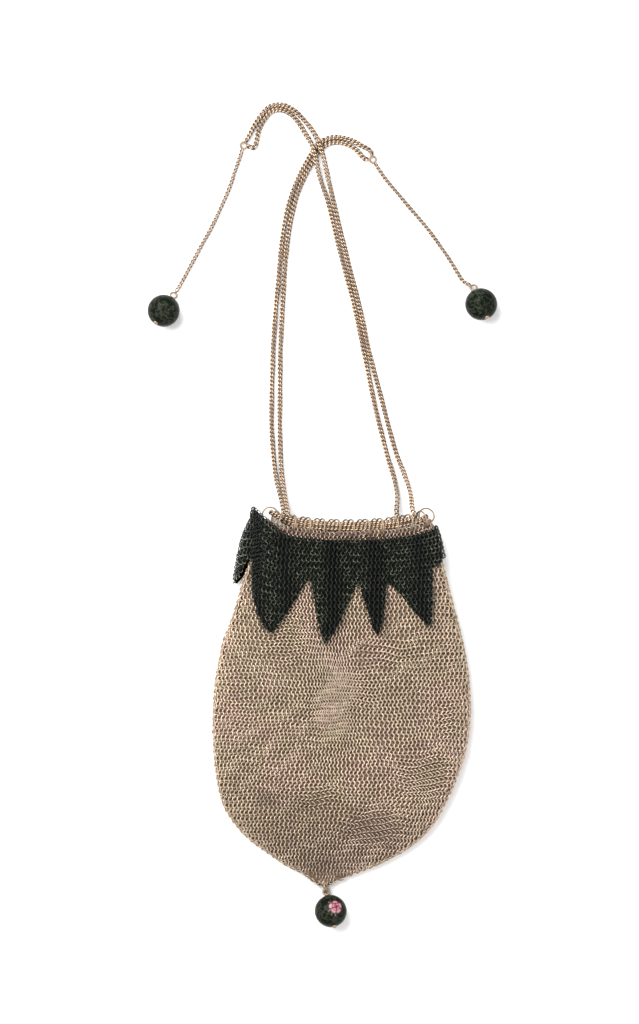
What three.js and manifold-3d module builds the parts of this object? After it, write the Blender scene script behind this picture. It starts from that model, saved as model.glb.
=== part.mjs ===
// A drawstring purse of metal ring mesh, lying on its back with its chains laid out, in millimetres.
// X runs across the bag, Y from its tip to its mouth and on along the chains, Z up from the surface that it
// lies on. The origin is on the flat underside of the bag, about where the bag is widest.
import * as THREE from 'three';
import { mergeVertices } from 'three/addons/utils/BufferGeometryUtils.js';
import Module from 'manifold-3d';

const wasm = await Module();
wasm.setup();

// Clearance between pieces that touch or link
const GAP = 0.3;

// Overlap by which the parts of one body are joined
const JOIN = 0.05;

// Bag: its front's rim stands further out of the mouth than its sides, by the sag of the rim
const BAG_HALF_WIDTH = 51.6;
const BAG_LENGTH = 141.8;
const BAG_HEIGHT = 16;
const TIP_Y = -68.4;
const TIP_LIFT = 1.9;
const MESH_WALL = 1.2;
const RIM_SAG = 5.2;
const RIM_SAG_FROM = 0.8;
const RIM_SAG_ROUNDNESS = 1.2;
const CAVITY_FROM = 0.065;
const RIM_ROWS_FROM = 0.9;

// Shape of a section of the bag: how full its top is, and where its underside becomes flat
const DOME = 0.8;
const FLAT_FROM = 0.45;
const FOLD_SOFTNESS = 0.7;
const FRONT_COLUMNS = 30;
const BACK_COLUMNS = 14;

// Collar
const COLLAR_WALL = 1.1;
const COLLAR_GAP = 0.4;
const COLLAR_REST = 0.05;
const COLLAR_BELOW_RIM = 2.8;
const COLLAR_ROWS = 5;
const COLLAR_COLUMN_DEGREES = 9;
const POINT_LENGTH = 45.4;
const FLUTE_HEIGHT = 1.6;

// The fold of the collar that hangs free past the bag's left edge
const LOBE_ANGLE = 168;
const LOBE_SPREAD = 30;
const LOBE_REACH = 7.6;
const LOBE_TAPER = 0.7;
const LOBE_TUCK = 0.4;
const LOBE_RAISE = 7.8;
const LOBE_RAISE_SPREAD = 22;
const LOBE_HEIGHT = 3;
const LOBE_DROOP = 0.4;
const LOBE_HANG_ANGLE = 188;
const LOBE_HANG_SPREAD = 16;

// Chains, and the steps of their routes: at most so many widths long, shorter where the route has turned by
// so many degrees
const CHAIN_WIDTH = 1.6;
const CHAIN_SIDES = 8;
const CHAIN_REST = 0.1;
const DRAPE_LENGTH = 26;
const LONGEST_STEP = 4.6;
const STEP_TURN = 22;

// Where the drawstrings run inside the rim rings: clear of the rim, one a little inward and one a little
// outward, and how far beyond their place there they leave the rings
const STRING_ABOVE_RIM = 0.5;
const LEFT_STRING_INWARD = 0.3;
const RIGHT_STRING_OUTWARD = 0.5;
const EXIT_NEAR = 0.9;
const EXIT_FAR = 3.6;
const EXIT_NEAR_DIVE = 0.7;

// Rings through the rim. They are turned out of the drawstrings' way, less so near the mouth's two edges
const RIM_RING_OUTER = 6.9;
const RIM_RING_WIRE = 0.7;
const RIM_RING_COUNT = 24;
const RIM_RING_TURN = 32;
const RIM_RING_LEAN = 6;
const RIM_RING_PHASE = 0.75;
const RIM_RING_EASE = 0.8;
const RIM_RING_EASE_SHARPNESS = 6;
const EYELET_DEPTH = 1.4;
const EYELET_EASE = 0.1;
const DRILL_WALLS = 3;

// Rings that gather the drawstrings' ends
const END_RING_OUTER = 3.4;
const END_RING_WIRE = 0.8;

// Glass balls and the eye pins through them
const BALL_DIAMETER = 12.9;
const PIN_WIRE = 0.8;
const PIN_EYE_INNER = 1.8;
const PIN_HEAD_DIAMETER = 1.9;
const PIN_HEAD_LENGTH = 0.6;

// Jump ring at the bag's tip
const TIP_LINK_OUTER = 4.5;
const TIP_LINK_WIRE = 0.7;
const TIP_HOLE_MARGIN = 1.6;

// Sides of round things
const LINK_STEPS = 12;
const RIM_RING_STEPS = 10;
const WIRE_SIDES = 5;
const BALL_SIDES = 12;
const BALL_ROWS = 7;
const HOLE_SIDES = 8;

// Sizes that follow from the ones above
const CHAIN_RADIUS = CHAIN_WIDTH / 2;
const CHAIN_HEIGHT = CHAIN_RADIUS + CHAIN_REST;
const RIM_Y = TIP_Y + BAG_LENGTH;
const COLLAR_LAYER = COLLAR_WALL + COLLAR_GAP + COLLAR_REST;
const RIM_RING_RADIUS = (RIM_RING_OUTER - RIM_RING_WIRE) / 2;
const RIM_RING_SWING = RIM_RING_RADIUS * Math.cos(THREE.MathUtils.degToRad(RIM_RING_TURN));
const MOUTH_LIFT = RIM_RING_SWING + RIM_RING_WIRE / 2 + GAP - MESH_WALL / 2;
const EYELET_RADIUS = RIM_RING_WIRE / 2 + GAP + EYELET_EASE;
const TIP_LINK_RADIUS = (TIP_LINK_OUTER - TIP_LINK_WIRE) / 2;
const TIP_HOLE_RADIUS = TIP_LINK_WIRE / 2 + GAP + EYELET_EASE;
const BALL_RADIUS = BALL_DIAMETER / 2;
const PIN_EYE_RADIUS = (PIN_EYE_INNER + PIN_WIRE) / 2;
const PIN_EYE_OUTER = PIN_EYE_RADIUS + PIN_WIRE / 2;
const PIN_EYE_OFFSET = BALL_RADIUS + GAP + PIN_EYE_OUTER;

// Place of each drawstring inside the rim rings: how far beyond the rim, and how far out from the mesh
const STRAND_PLACES = {
  left: { beyond: STRING_ABOVE_RIM + CHAIN_RADIUS, outward: -LEFT_STRING_INWARD },
  right: { beyond: STRING_ABOVE_RIM + CHAIN_RADIUS + CHAIN_WIDTH, outward: RIGHT_STRING_OUTWARD },
};

// Sections of the bag, from its tip to its rim. along is a share of the bag's length, left and right are
// shares of its half width, and edge and top are shares of its height. tip, under and rise are shares of the
// lift of the tip, of the collar's layer under the bag and of the rise of the rim above that layer.
const SECTIONS = [
  { along: 0.000, left: -0.168, right: -0.108, tip: 1.00, under: 0, rise: 0, edge: 0.50, top: 0.200 },
  { along: 0.012, left: -0.216, right: -0.056, tip: 0.97, under: 0, rise: 0, edge: 0.48, top: 0.205 },
  { along: 0.034, left: -0.298, right: 0.089, tip: 0.60, under: 0, rise: 0, edge: 0.45, top: 0.280 },
  { along: 0.065, left: -0.453, right: 0.298, tip: 0.22, under: 0, rise: 0, edge: 0.40, top: 0.400 },
  { along: 0.102, left: -0.601, right: 0.488, tip: 0.00, under: 0, rise: 0, edge: 0.34, top: 0.540 },
  { along: 0.138, left: -0.733, right: 0.620, tip: 0.00, under: 0, rise: 0, edge: 0.31, top: 0.660 },
  { along: 0.186, left: -0.849, right: 0.733, tip: 0.00, under: 0, rise: 0, edge: 0.30, top: 0.770 },
  { along: 0.235, left: -0.925, right: 0.810, tip: 0.00, under: 0, rise: 0, edge: 0.30, top: 0.860 },
  { along: 0.300, left: -0.967, right: 0.890, tip: 0.00, under: 0, rise: 0, edge: 0.30, top: 0.940 },
  { along: 0.380, left: -0.993, right: 0.962, tip: 0.00, under: 0, rise: 0, edge: 0.30, top: 0.985 },
  { along: 0.482, left: -1.000, right: 1.000, tip: 0.00, under: 0, rise: 0, edge: 0.30, top: 1.000 },
  { along: 0.580, left: -0.982, right: 0.990, tip: 0.00, under: 0, rise: 0, edge: 0.30, top: 0.990 },
  { along: 0.640, left: -0.952, right: 0.968, tip: 0.00, under: 0.20, rise: 0, edge: 0.30, top: 0.980 },
  { along: 0.694, left: -0.922, right: 0.938, tip: 0.00, under: 1.00, rise: 0, edge: 0.31, top: 0.960 },
  { along: 0.762, left: -0.849, right: 0.891, tip: 0.00, under: 1.00, rise: 0, edge: 0.33, top: 0.930 },
  { along: 0.843, left: -0.780, right: 0.830, tip: 0.00, under: 1.00, rise: 0, edge: 0.36, top: 0.905 },
  { along: 0.920, left: -0.690, right: 0.765, tip: 0.00, under: 1.00, rise: 0.15, edge: 0.43, top: 0.890 },
  { along: 0.965, left: -0.632, right: 0.728, tip: 0.00, under: 1.00, rise: 0.60, edge: 0.48, top: 0.885 },
  { along: 1.000, left: -0.580, right: 0.686, tip: 0.00, under: 1.00, rise: 1.00, edge: 0.50, top: 0.880 },
];

// Soft folds of the bag's front. upper and lower are shares of its half width where the fold's upper and lower
// ends lie, and width is a share of it too. from and until are shares of the length, depth of the height.
const FOLDS = [
  { upper: -0.06, lower: 0.03, from: 0.24, until: 1.05, width: 0.20, depth: 0.110 },
  { upper: 0.30, lower: 0.42, from: 0.62, until: 1.05, width: 0.12, depth: 0.075 },
  { upper: -0.42, lower: -0.50, from: 0.58, until: 1.05, width: 0.13, depth: 0.060 },
  { upper: 0.62, lower: 0.12, from: 0.10, until: 0.40, width: 0.12, depth: 0.070 },
  { upper: -0.62, lower: -0.30, from: 0.12, until: 0.34, width: 0.14, depth: 0.045 },
  { upper: 0.72, lower: 0.74, from: 0.44, until: 0.80, width: 0.13, depth: 0.040 },
];

// Points of the collar and the notches between them, round the mouth from the right edge over the front.
// angle is in degrees round the bag, drop a share of the longest point, flute a share of the flutes' height.
const COLLAR_EDGE = [
  { angle: 4, drop: 0.30, flute: 0 },
  { angle: 31, drop: 0.36, flute: 0.3 },
  { angle: 45, drop: 0.84, flute: 0.9 },
  { angle: 66, drop: 0.46, flute: 0.1 },
  { angle: 74, drop: 0.93, flute: 1 },
  { angle: 83, drop: 0.47, flute: 0.1 },
  { angle: 98, drop: 1.00, flute: 1 },
  { angle: 110, drop: 0.43, flute: 0.1 },
  { angle: 126, drop: 0.895, flute: 0.9 },
  { angle: 165, drop: 0.285, flute: 0 },
  { angle: 181, drop: 0.48, flute: 0 },
  { angle: 192, drop: 0.49, flute: 0 },
  { angle: 206, drop: 0.33, flute: 0 },
  { angle: 224, drop: 0.80, flute: 0 },
  { angle: 240, drop: 0.46, flute: 0 },
  { angle: 255, drop: 0.86, flute: 0 },
  { angle: 271, drop: 0.46, flute: 0 },
  { angle: 287, drop: 0.86, flute: 0 },
  { angle: 303, drop: 0.46, flute: 0 },
  { angle: 322, drop: 0.80, flute: 0 },
  { angle: 346, drop: 0.30, flute: 0 },
];

// Route of each drawstring's two strands from the mouth to the end ring, chosen by hand: the middle of the
// pair, how far apart its strands lie, and how high the pair passes over what it crosses. Here and in the
// tables below, a place along Y is measured from the rim's front.
const LEFT_ROUTE = [
  [-25.0, 14.6, 2.3, 0],
  [-25.7, 23.6, 2.7, 0],
  [-26.2, 38.6, 3.2, 0],
  [-26.3, 52.6, 3.3, 0],
  [-26.1, 64.6, 3.1, 0],
  [-25.7, 76.6, 2.9, 0],
  [-25.0, 88.6, 2.7, 0],
  [-24.1, 100.6, 2.3, 0],
  [-22.9, 114.6, 2.2, 0],
  [-21.0, 126.6, 2.2, 0],
  [-18.8, 134.6, 2.1, 0],
  [-16.0, 141.6, 2.0, 0],
  [-13.2, 147.2, 2.0, 0],
  [-10.6, 151.6, 2.0, 0],
  [-7.6, 154.9, 2.0, 0],
  [-3.8, 156.5, 2.0, 0],
  [0.2, 156.4, 2.0, 0],
  [3.9, 155.2, 2.2, 0],
  [7.2, 153.2, 2.7, 0],
];
const RIGHT_ROUTE = [
  [24.8, 14.6, 4.0, 0],
  [22.6, 21.6, 3.8, 0],
  [20.0, 30.6, 3.6, 0],
  [17.2, 41.6, 3.4, 0],
  [14.2, 53.6, 3.1, 0],
  [11.6, 64.6, 2.4, 0],
  [9.6, 73.6, 2.0, 0],
  [6.9, 86.6, 2.0, 0],
  [3.7, 99.6, 2.0, 0],
  [0.6, 111.6, 2.1, 0],
  [-2.4, 123.6, 2.1, 0],
  [-4.6, 133.1, 2.3, 0.2],
  [-6.5, 139.6, 3.0, 1.0],
  [-8.0, 145.6, 3.2, 1.8],
  [-9.2, 151.1, 3.0, 2.0],
  [-11.0, 155.9, 3.0, 2.0],
  [-13.3, 159.9, 3.1, 1.3],
  [-15.8, 163.6, 2.5, 0.3],
  [-19.4, 167.4, 2.1, 0],
  [-24.0, 169.6, 2.0, 0],
  [-28.3, 168.9, 2.0, 0],
  [-31.3, 165.8, 2.1, 0],
  [-33.9, 161.6, 2.5, 0],
];

// Each drawstring: the route of its strands, where across the bag its front and its back strand leave the
// mouth, as shares of the bag's half width, how far they dive inward there, the middle of its end ring, and
// each strand's last hand-chosen point before that ring
const DRAWSTRINGS = {
  left: {
    route: LEFT_ROUTE,
    exits: { front: -0.438, back: -0.438 },
    dive: 1.75,
    ring: [12.4, 148.8],
    last: { front: [9.1, 149.1], back: [11.6, 152.2] },
  },
  right: {
    route: RIGHT_ROUTE,
    exits: { front: 0.531, back: 0.453 },
    dive: 0,
    ring: [-39.2, 154.4],
    last: { front: [-37.2, 157.9], back: [-35.1, 153.6] },
  },
};

// Route of each single chain from its end ring to its ball, chosen by hand
const DROP_ROUTES = {
  left: [
    [-40.2, 151.2], [-42.2, 145.2], [-44.8, 137.6], [-47.6, 131.0], [-52.2, 121.2],
    [-56.2, 114.0], [-60.2, 106.6], [-64.2, 99.2],
  ],
  right: [
    [14.6, 145.2], [17.2, 141.4], [22.6, 135.0], [28.6, 127.8], [34.2, 121.2], [39.0, 114.8],
    [43.4, 108.4], [46.6, 103.0], [48.4, 100.3],
  ],
};

// The side balls: where each lies, and the direction in which its pin points to its chain, in degrees from +X
const SIDE_BALLS = {
  left: { x: -70.9, y: 88.0, turn: 58.6, tilt: 29 },
  right: { x: 55.6, y: 90.6, turn: 112.6, tilt: 29 },
};
const BOTTOM_BALL = { turn: 104, tilt: 27 };

// Finishes
const FINISHES = {
  ring_mesh: new THREE.MeshStandardMaterial({ color: 0xb59f88, roughness: 0.45, metalness: 0.9 }),
  dark_ring_mesh: new THREE.MeshStandardMaterial({ color: 0x1f261f, roughness: 0.4, metalness: 0.6 }),
  curb_chain: new THREE.MeshStandardMaterial({ color: 0xbfa58c, roughness: 0.35, metalness: 1 }),
  ring_wire: new THREE.MeshStandardMaterial({ color: 0xb8a188, roughness: 0.4, metalness: 1 }),
  dark_glass: new THREE.MeshStandardMaterial({ color: 0x10150f, roughness: 0.08, metalness: 0 }),
};
for (const [name, finish] of Object.entries(FINISHES)) finish.name = name;

const purse = new THREE.Group();

function addPiece(name, geometry, finish, parent = purse) {
  const piece = new THREE.Mesh(geometry, FINISHES[finish]);
  piece.name = name;
  parent.add(piece);
  return piece;
}

// Smooth value of one column of a table at a given share, through the table's own values
function lookUp(table, column, share) {
  const last = table.length - 1;
  let k = 0;
  while (k < last - 1 && share > table[k + 1].along) k += 1;
  const slope = (i) => {
    const a = table[Math.max(i - 1, 0)];
    const b = table[Math.min(i + 1, last)];
    return (b[column] - a[column]) / (b.along - a.along);
  };
  const span = table[k + 1].along - table[k].along;
  const u = THREE.MathUtils.clamp((share - table[k].along) / span, 0, 1);
  const here = (1 + 2 * u) * (1 - u) ** 2 * table[k][column] + u * (1 - u) ** 2 * span * slope(k);
  return here + u * u * (3 - 2 * u) * table[k + 1][column] + u * u * (u - 1) * span * slope(k + 1);
}

// Depth of the soft folds at a place on the bag's front
function foldDepth(across, share) {
  let depth = 0;
  for (const fold of FOLDS) {
    const u = (share - fold.from) / (fold.until - fold.from);
    if (u <= 0 || u >= 1) continue;
    const place = THREE.MathUtils.lerp(fold.lower, fold.upper, u);
    const strength = Math.sin(Math.PI * u ** FOLD_SOFTNESS) ** FOLD_SOFTNESS;
    depth += fold.depth * strength * Math.exp(-(((across - place) / fold.width) ** 2));
  }
  return depth * BAG_HEIGHT;
}

// A point of the bag's outer surface, or of the surface at a distance outward from it.
// angle runs round the bag from its right edge over the front, share runs from the tip to the rim.
function bagPoint(angle, share, outward) {
  const column = (name) => lookUp(SECTIONS, name, share);
  const rise = (MOUTH_LIFT - COLLAR_LAYER) * column('rise');
  const base = TIP_LIFT * column('tip') + COLLAR_LAYER * column('under') + rise;
  const top = BAG_HEIGHT * column('top');
  const middle = base + column('edge') * (top - base);
  const left = BAG_HALF_WIDTH * column('left') - outward;
  const right = BAG_HALF_WIDTH * column('right') + outward;
  const across = Math.cos(angle);
  const up = Math.sin(angle);
  const x = (left + right) / 2 + ((right - left) / 2) * across;
  let z = middle + (top + outward - middle) * Math.abs(up) ** DOME - foldDepth(across, share) * up;
  if (up < 0) z = middle - (middle - base + outward) * Math.sin((Math.PI / 2) * Math.min(-up / FLAT_FROM, 1));
  const sagged = 1 - Math.abs(up) ** RIM_SAG_ROUNDNESS;
  const sag = RIM_SAG * sagged * THREE.MathUtils.smoothstep(share, RIM_SAG_FROM, 1);
  return new THREE.Vector3(x, TIP_Y + BAG_LENGTH * share + sag, z);
}

// Join loops of equal length into one closed body, its ends capped or its last loop joined to its first
function skin(loops, ringed = false) {
  const positions = loops.flat().flatMap((p) => [p.x, p.y, p.z]);
  const size = loops[0].length;
  const faces = [];
  const bands = ringed ? loops.length : loops.length - 1;
  for (let i = 0; i < bands; i += 1) {
    const a = i * size;
    const b = ((i + 1) % loops.length) * size;
    for (let j = 0; j < size; j += 1) {
      const k = (j + 1) % size;
      faces.push(a + j, a + k, b + k, a + j, b + k, b + j);
    }
  }
  const cap = (loop, first, turned) => {
    const middle = loop.reduce((sum, p) => sum.add(p), new THREE.Vector3()).divideScalar(size);
    const centre = positions.length / 3;
    positions.push(middle.x, middle.y, middle.z);
    for (let j = 0; j < size; j += 1) {
      const k = (j + 1) % size;
      if (turned) faces.push(centre, first + j, first + k);
      else faces.push(centre, first + k, first + j);
    }
  };
  if (!ringed) {
    cap(loops[0], 0, false);
    cap(loops.at(-1), (loops.length - 1) * size, true);
  }
  let geometry = new THREE.BufferGeometry();
  geometry.setAttribute('position', new THREE.Float32BufferAttribute(positions, 3));
  geometry.setIndex(faces);
  geometry = mergeVertices(geometry, 1e-4);
  if (signedVolume(geometry) < 0) {
    const order = Array.from(geometry.index.array);
    for (let i = 0; i < order.length; i += 3) [order[i], order[i + 1]] = [order[i + 1], order[i]];
    geometry.setIndex(order);
  }
  return geometry;
}

function signedVolume(geometry) {
  const corner = [0, 1, 2].map(() => new THREE.Vector3());
  const order = geometry.index.array;
  let sum = 0;
  for (let i = 0; i < order.length; i += 3) {
    corner.forEach((p, k) => p.fromBufferAttribute(geometry.attributes.position, order[i + k]));
    sum += corner[0].dot(corner[1].clone().cross(corner[2]));
  }
  return sum / 6;
}

function toSolid(geometry) {
  const bare = geometry.clone();
  bare.deleteAttribute('normal');
  bare.deleteAttribute('uv');
  const closed = mergeVertices(bare, 1e-4);
  const vertProperties = new Float32Array(closed.attributes.position.array);
  const triVerts = new Uint32Array(closed.index.array);
  return new wasm.Manifold(new wasm.Mesh({ numProp: 3, vertProperties, triVerts }));
}

function toGeometry(solid) {
  const mesh = solid.getMesh();
  const geometry = new THREE.BufferGeometry();
  geometry.setAttribute('position', new THREE.Float32BufferAttribute(mesh.vertProperties, 3));
  geometry.setIndex(Array.from(mesh.triVerts));
  return geometry;
}

// Angles of the columns round the bag, closer together over the front
const columnAngles = [];
for (let i = 0; i < FRONT_COLUMNS; i += 1) columnAngles.push((Math.PI * i) / FRONT_COLUMNS);
for (let i = 0; i < BACK_COLUMNS; i += 1) columnAngles.push(Math.PI * (1 + i / BACK_COLUMNS));

// Middle of the mesh wall at the rim, and the directions there: along the rim, out of the mouth and out of
// the bag
function rimFrame(angle) {
  const step = 0.02;
  const wallMiddle = (a, share) => bagPoint(a, share, -MESH_WALL / 2);
  const place = wallMiddle(angle, 1);
  const along = wallMiddle(angle + step, 1).sub(wallMiddle(angle - step, 1)).normalize();
  const beyond = place.clone().sub(wallMiddle(angle, 1 - EYELET_DEPTH / BAG_LENGTH));
  beyond.addScaledVector(along, -beyond.dot(along)).normalize();
  const outward = beyond.clone().cross(along);
  return { place, along, beyond, outward };
}

// Angles that share the rim's length equally between the rim rings
function equalAngles(count) {
  const samples = 720;
  const lengths = [0];
  for (let i = 1; i <= samples; i += 1) {
    const a = rimFrame((2 * Math.PI * (i - 1)) / samples).place;
    lengths.push(lengths[i - 1] + a.distanceTo(rimFrame((2 * Math.PI * i) / samples).place));
  }
  const angles = [];
  for (let i = 0, k = 0; i < count; i += 1) {
    const wanted = (lengths[samples] * (i + RIM_RING_PHASE)) / count;
    while (lengths[k + 1] < wanted) k += 1;
    const part = (wanted - lengths[k]) / (lengths[k + 1] - lengths[k]);
    angles.push((2 * Math.PI * (k + part)) / samples);
  }
  return angles;
}

const ringAngles = equalAngles(RIM_RING_COUNT);

// Where a rim ring stands: it passes through the mesh below the rim and is turned out of the drawstrings' way
function rimRingFrame(angle) {
  const { place, along, beyond, outward } = rimFrame(angle);
  const ease = 1 - RIM_RING_EASE * Math.cos(angle) ** RIM_RING_EASE_SHARPNESS;
  const turn = THREE.MathUtils.degToRad(RIM_RING_TURN) * ease;
  const lean = THREE.MathUtils.degToRad(RIM_RING_LEAN);
  const hole = place.clone().addScaledVector(beyond, -EYELET_DEPTH);
  const through = outward.clone().multiplyScalar(Math.cos(turn)).addScaledVector(along, -Math.sin(turn));
  const up = beyond.clone().multiplyScalar(Math.cos(lean)).addScaledVector(along, -Math.sin(lean));
  up.addScaledVector(through, -up.dot(through)).normalize();
  const centre = hole.clone().addScaledVector(up, RIM_RING_RADIUS);
  return { hole, through, up, centre, axis: through.clone().cross(up) };
}

function makeBag() {
  const outer = SECTIONS.map(({ along }) => columnAngles.map((a) => bagPoint(a, along, 0)));
  const hollow = SECTIONS.filter(({ along }) => along >= CAVITY_FROM);
  const inside = hollow.filter(({ along }, i) => i % 2 === 1 || along > RIM_ROWS_FROM);
  const inner = inside.map(({ along }) => columnAngles.map((a) => bagPoint(a, along, -MESH_WALL)));
  let bag = toSolid(skin([...outer, ...inner.reverse()]));
  for (const angle of ringAngles) {
    const { hole, through, up, axis } = rimRingFrame(angle);
    const drillLength = MESH_WALL * DRILL_WALLS;
    const drill = new THREE.CylinderGeometry(EYELET_RADIUS, EYELET_RADIUS, drillLength, HOLE_SIDES);
    drill.applyMatrix4(new THREE.Matrix4().makeBasis(axis, through, up).setPosition(hole));
    bag = bag.subtract(toSolid(drill));
  }
  const tipDrill = new THREE.CylinderGeometry(TIP_HOLE_RADIUS, TIP_HOLE_RADIUS, BAG_HEIGHT, HOLE_SIDES);
  tipDrill.rotateX(Math.PI / 2).translate(tipHole.x, tipHole.y, tipHole.z);
  return toGeometry(bag.subtract(toSolid(tipDrill)));
}

// The hole near the bag's tip, drilled from front to back through the closed end of the mesh
const tipHole = (() => {
  const share = TIP_HOLE_MARGIN / BAG_LENGTH;
  const front = bagPoint(Math.PI / 2, share, 0);
  const back = bagPoint(-Math.PI / 2, share, 0);
  return front.add(back).multiplyScalar(0.5);
})();

// Drop of the collar's lower edge below the rim at an angle in degrees, and the height of its flute there
function collarEdge(degrees) {
  const rows = COLLAR_EDGE;
  const first = rows[0].angle;
  const turned = ((degrees - first + 360) % 360) + first;
  let k = rows.length - 1;
  while (rows[k].angle > turned) k -= 1;
  const next = rows[(k + 1) % rows.length];
  const end = k === rows.length - 1 ? next.angle + 360 : next.angle;
  const u = (turned - rows[k].angle) / (end - rows[k].angle);
  const eased = (u + u * u * (3 - 2 * u)) / 2;
  return {
    drop: POINT_LENGTH * THREE.MathUtils.lerp(rows[k].drop, next.drop, eased),
    flute: FLUTE_HEIGHT * THREE.MathUtils.lerp(rows[k].flute, next.flute, eased),
  };
}

// Share of a bulge that is highest at one angle and dies away to both sides
function bulge(degrees, middle, spread) {
  return Math.exp(-(((degrees - middle) / spread) ** 2));
}

// A point of the collar: the bag's own surface, set off by a gap, with flutes and the free fold at the left,
// which stands up before the rim, bulges out of the bag and droops towards the surface
function collarPoint(degrees, down, outward) {
  const { drop, flute } = collarEdge(degrees);
  const raise = LOBE_RAISE * bulge(degrees, LOBE_ANGLE, LOBE_RAISE_SPREAD);
  const below = THREE.MathUtils.lerp(COLLAR_BELOW_RIM - raise, drop, down);
  const angle = THREE.MathUtils.degToRad(degrees);
  const point = bagPoint(angle, 1 - below / BAG_LENGTH, COLLAR_GAP + outward + flute * down);
  const tucked = (1 - LOBE_TAPER * down) * (1 - LOBE_TUCK * (1 - down) ** 4);
  const middle = THREE.MathUtils.lerp(LOBE_ANGLE, LOBE_HANG_ANGLE, down);
  const spread = THREE.MathUtils.lerp(LOBE_SPREAD, LOBE_HANG_SPREAD, down);
  const reach = LOBE_REACH * bulge(degrees, middle, spread) * tucked;
  point.x += reach * Math.cos(angle);
  point.z += reach * Math.max(Math.sin(angle), 0) ** DOME;
  const droop = LOBE_DROOP * bulge(degrees, LOBE_HANG_ANGLE, LOBE_HANG_SPREAD);
  point.z = THREE.MathUtils.lerp(point.z, LOBE_HEIGHT, droop);
  return point;
}

function makeCollar() {
  const degrees = [];
  COLLAR_EDGE.forEach((row, i) => {
    const next = i + 1 < COLLAR_EDGE.length ? COLLAR_EDGE[i + 1].angle : COLLAR_EDGE[0].angle + 360;
    const steps = Math.max(2, Math.round((next - row.angle) / COLLAR_COLUMN_DEGREES));
    for (let k = 0; k < steps; k += 1) degrees.push(row.angle + ((next - row.angle) * k) / steps);
  });
  const ring = (down, outward) => degrees.map((angle) => collarPoint(angle % 360, down, outward));
  const shares = Array.from({ length: COLLAR_ROWS + 1 }, (_, i) => i / COLLAR_ROWS);
  const outside = shares.map((down) => ring(down, COLLAR_WALL));
  const inside = shares.map((down) => ring(down, 0));
  return skin([...outside, ...inside.reverse()], true);
}

// A ring of round wire that stands on the given directions
function makeRing(radius, wire, steps) {
  return new THREE.TorusGeometry(radius, wire / 2, WIRE_SIDES, steps);
}

function addRing(name, frame, radius, wire, steps) {
  const ring = addPiece(name, makeRing(radius, wire, steps), 'ring_wire');
  const basis = new THREE.Matrix4().makeBasis(frame.through, frame.up, frame.axis);
  ring.quaternion.setFromRotationMatrix(basis);
  ring.position.copy(frame.centre);
}

// A route whose sections fall exactly on its own points
class Route extends THREE.CatmullRomCurve3 {
  getUtoTmapping(u) {
    return u;
  }
}

// Points of a smooth curve, about one every few diameters and closer where it bends
function spacedPoints(points) {
  const smooth = new THREE.CatmullRomCurve3(points, false, 'centripetal');
  const length = smooth.getLength();
  const fine = Math.ceil((4 * length) / CHAIN_WIDTH);
  const kept = [smooth.getPointAt(0)];
  let heading = smooth.getTangentAt(0);
  let run = 0;
  for (let i = 1; i < fine; i += 1) {
    run += length / fine;
    const tangent = smooth.getTangentAt(i / fine);
    const bend = THREE.MathUtils.radToDeg(tangent.angleTo(heading));
    if (run > CHAIN_WIDTH * LONGEST_STEP || (run > CHAIN_WIDTH && bend > STEP_TURN)) {
      kept.push(smooth.getPointAt(i / fine));
      heading = tangent;
      run = 0;
    }
  }
  if (run < CHAIN_WIDTH && kept.length > 2) kept.pop();
  kept.push(smooth.getPointAt(1));
  return kept;
}

function makeChain(points) {
  const kept = spacedPoints(points);
  const section = new THREE.Shape();
  section.absarc(0, 0, CHAIN_RADIUS, 0, 2 * Math.PI);
  return new THREE.ExtrudeGeometry(section, {
    steps: kept.length - 1,
    curveSegments: CHAIN_SIDES / 2,
    bevelEnabled: false,
    extrudePath: new Route(kept, false, 'centripetal'),
  });
}

// A point of a drawstring at the mouth: inside the rim rings, or further out of the mouth and inward of them
function strandPoint(angle, string, further = 0, inward = 0) {
  const { place, beyond, outward } = rimFrame(angle);
  place.addScaledVector(beyond, string.beyond + further);
  return place.addScaledVector(outward, string.outward - inward);
}

// The middle of the gap between two neighbouring rim rings that lies nearest to a place across the bag
function gapAngle(x, front) {
  let best = null;
  ringAngles.forEach((angle, i) => {
    const next = i + 1 < ringAngles.length ? ringAngles[i + 1] : ringAngles[0] + 2 * Math.PI;
    const middle = (angle + next) / 2;
    if (Math.sin(middle) > 0 !== front) return;
    const off = Math.abs(rimFrame(middle).place.x - x);
    if (best === null || off < best.off) best = { off, middle };
  });
  return best.middle;
}

// One strand of a drawstring along its route, on the right (1) or the left (-1) of the pair's middle. From its
// exit at the mouth it falls to the surface and eases over to its route
function freeStrand(route, turned, exit) {
  const middle = route.map(([x, y]) => new THREE.Vector2(x, RIM_Y + y));
  return route.map(([, , apart, lift], i) => {
    const a = middle[Math.max(i - 1, 0)];
    const b = middle[Math.min(i + 1, route.length - 1)];
    const across = new THREE.Vector2(b.y - a.y, a.x - b.x).normalize();
    const place = middle[i].clone().addScaledVector(across, (turned * apart) / 2);
    const held = (1 - THREE.MathUtils.clamp((place.y - exit.y) / DRAPE_LENGTH, 0, 1)) ** 2;
    const x = THREE.MathUtils.lerp(place.x, exit.x, held);
    return new THREE.Vector3(x, place.y, THREE.MathUtils.lerp(CHAIN_HEIGHT + lift, exit.z, held));
  });
}

// A hand-chosen point of a chain that lies on the surface
function layPoint([x, y]) {
  return new THREE.Vector3(x, RIM_Y + y, CHAIN_HEIGHT);
}

// A point just clear of an end ring or an eye, on the side that a chain comes from
function meet(centre, from, radius) {
  const toward = from.clone().sub(centre).normalize();
  return centre.clone().addScaledVector(toward, radius + GAP);
}

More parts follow.
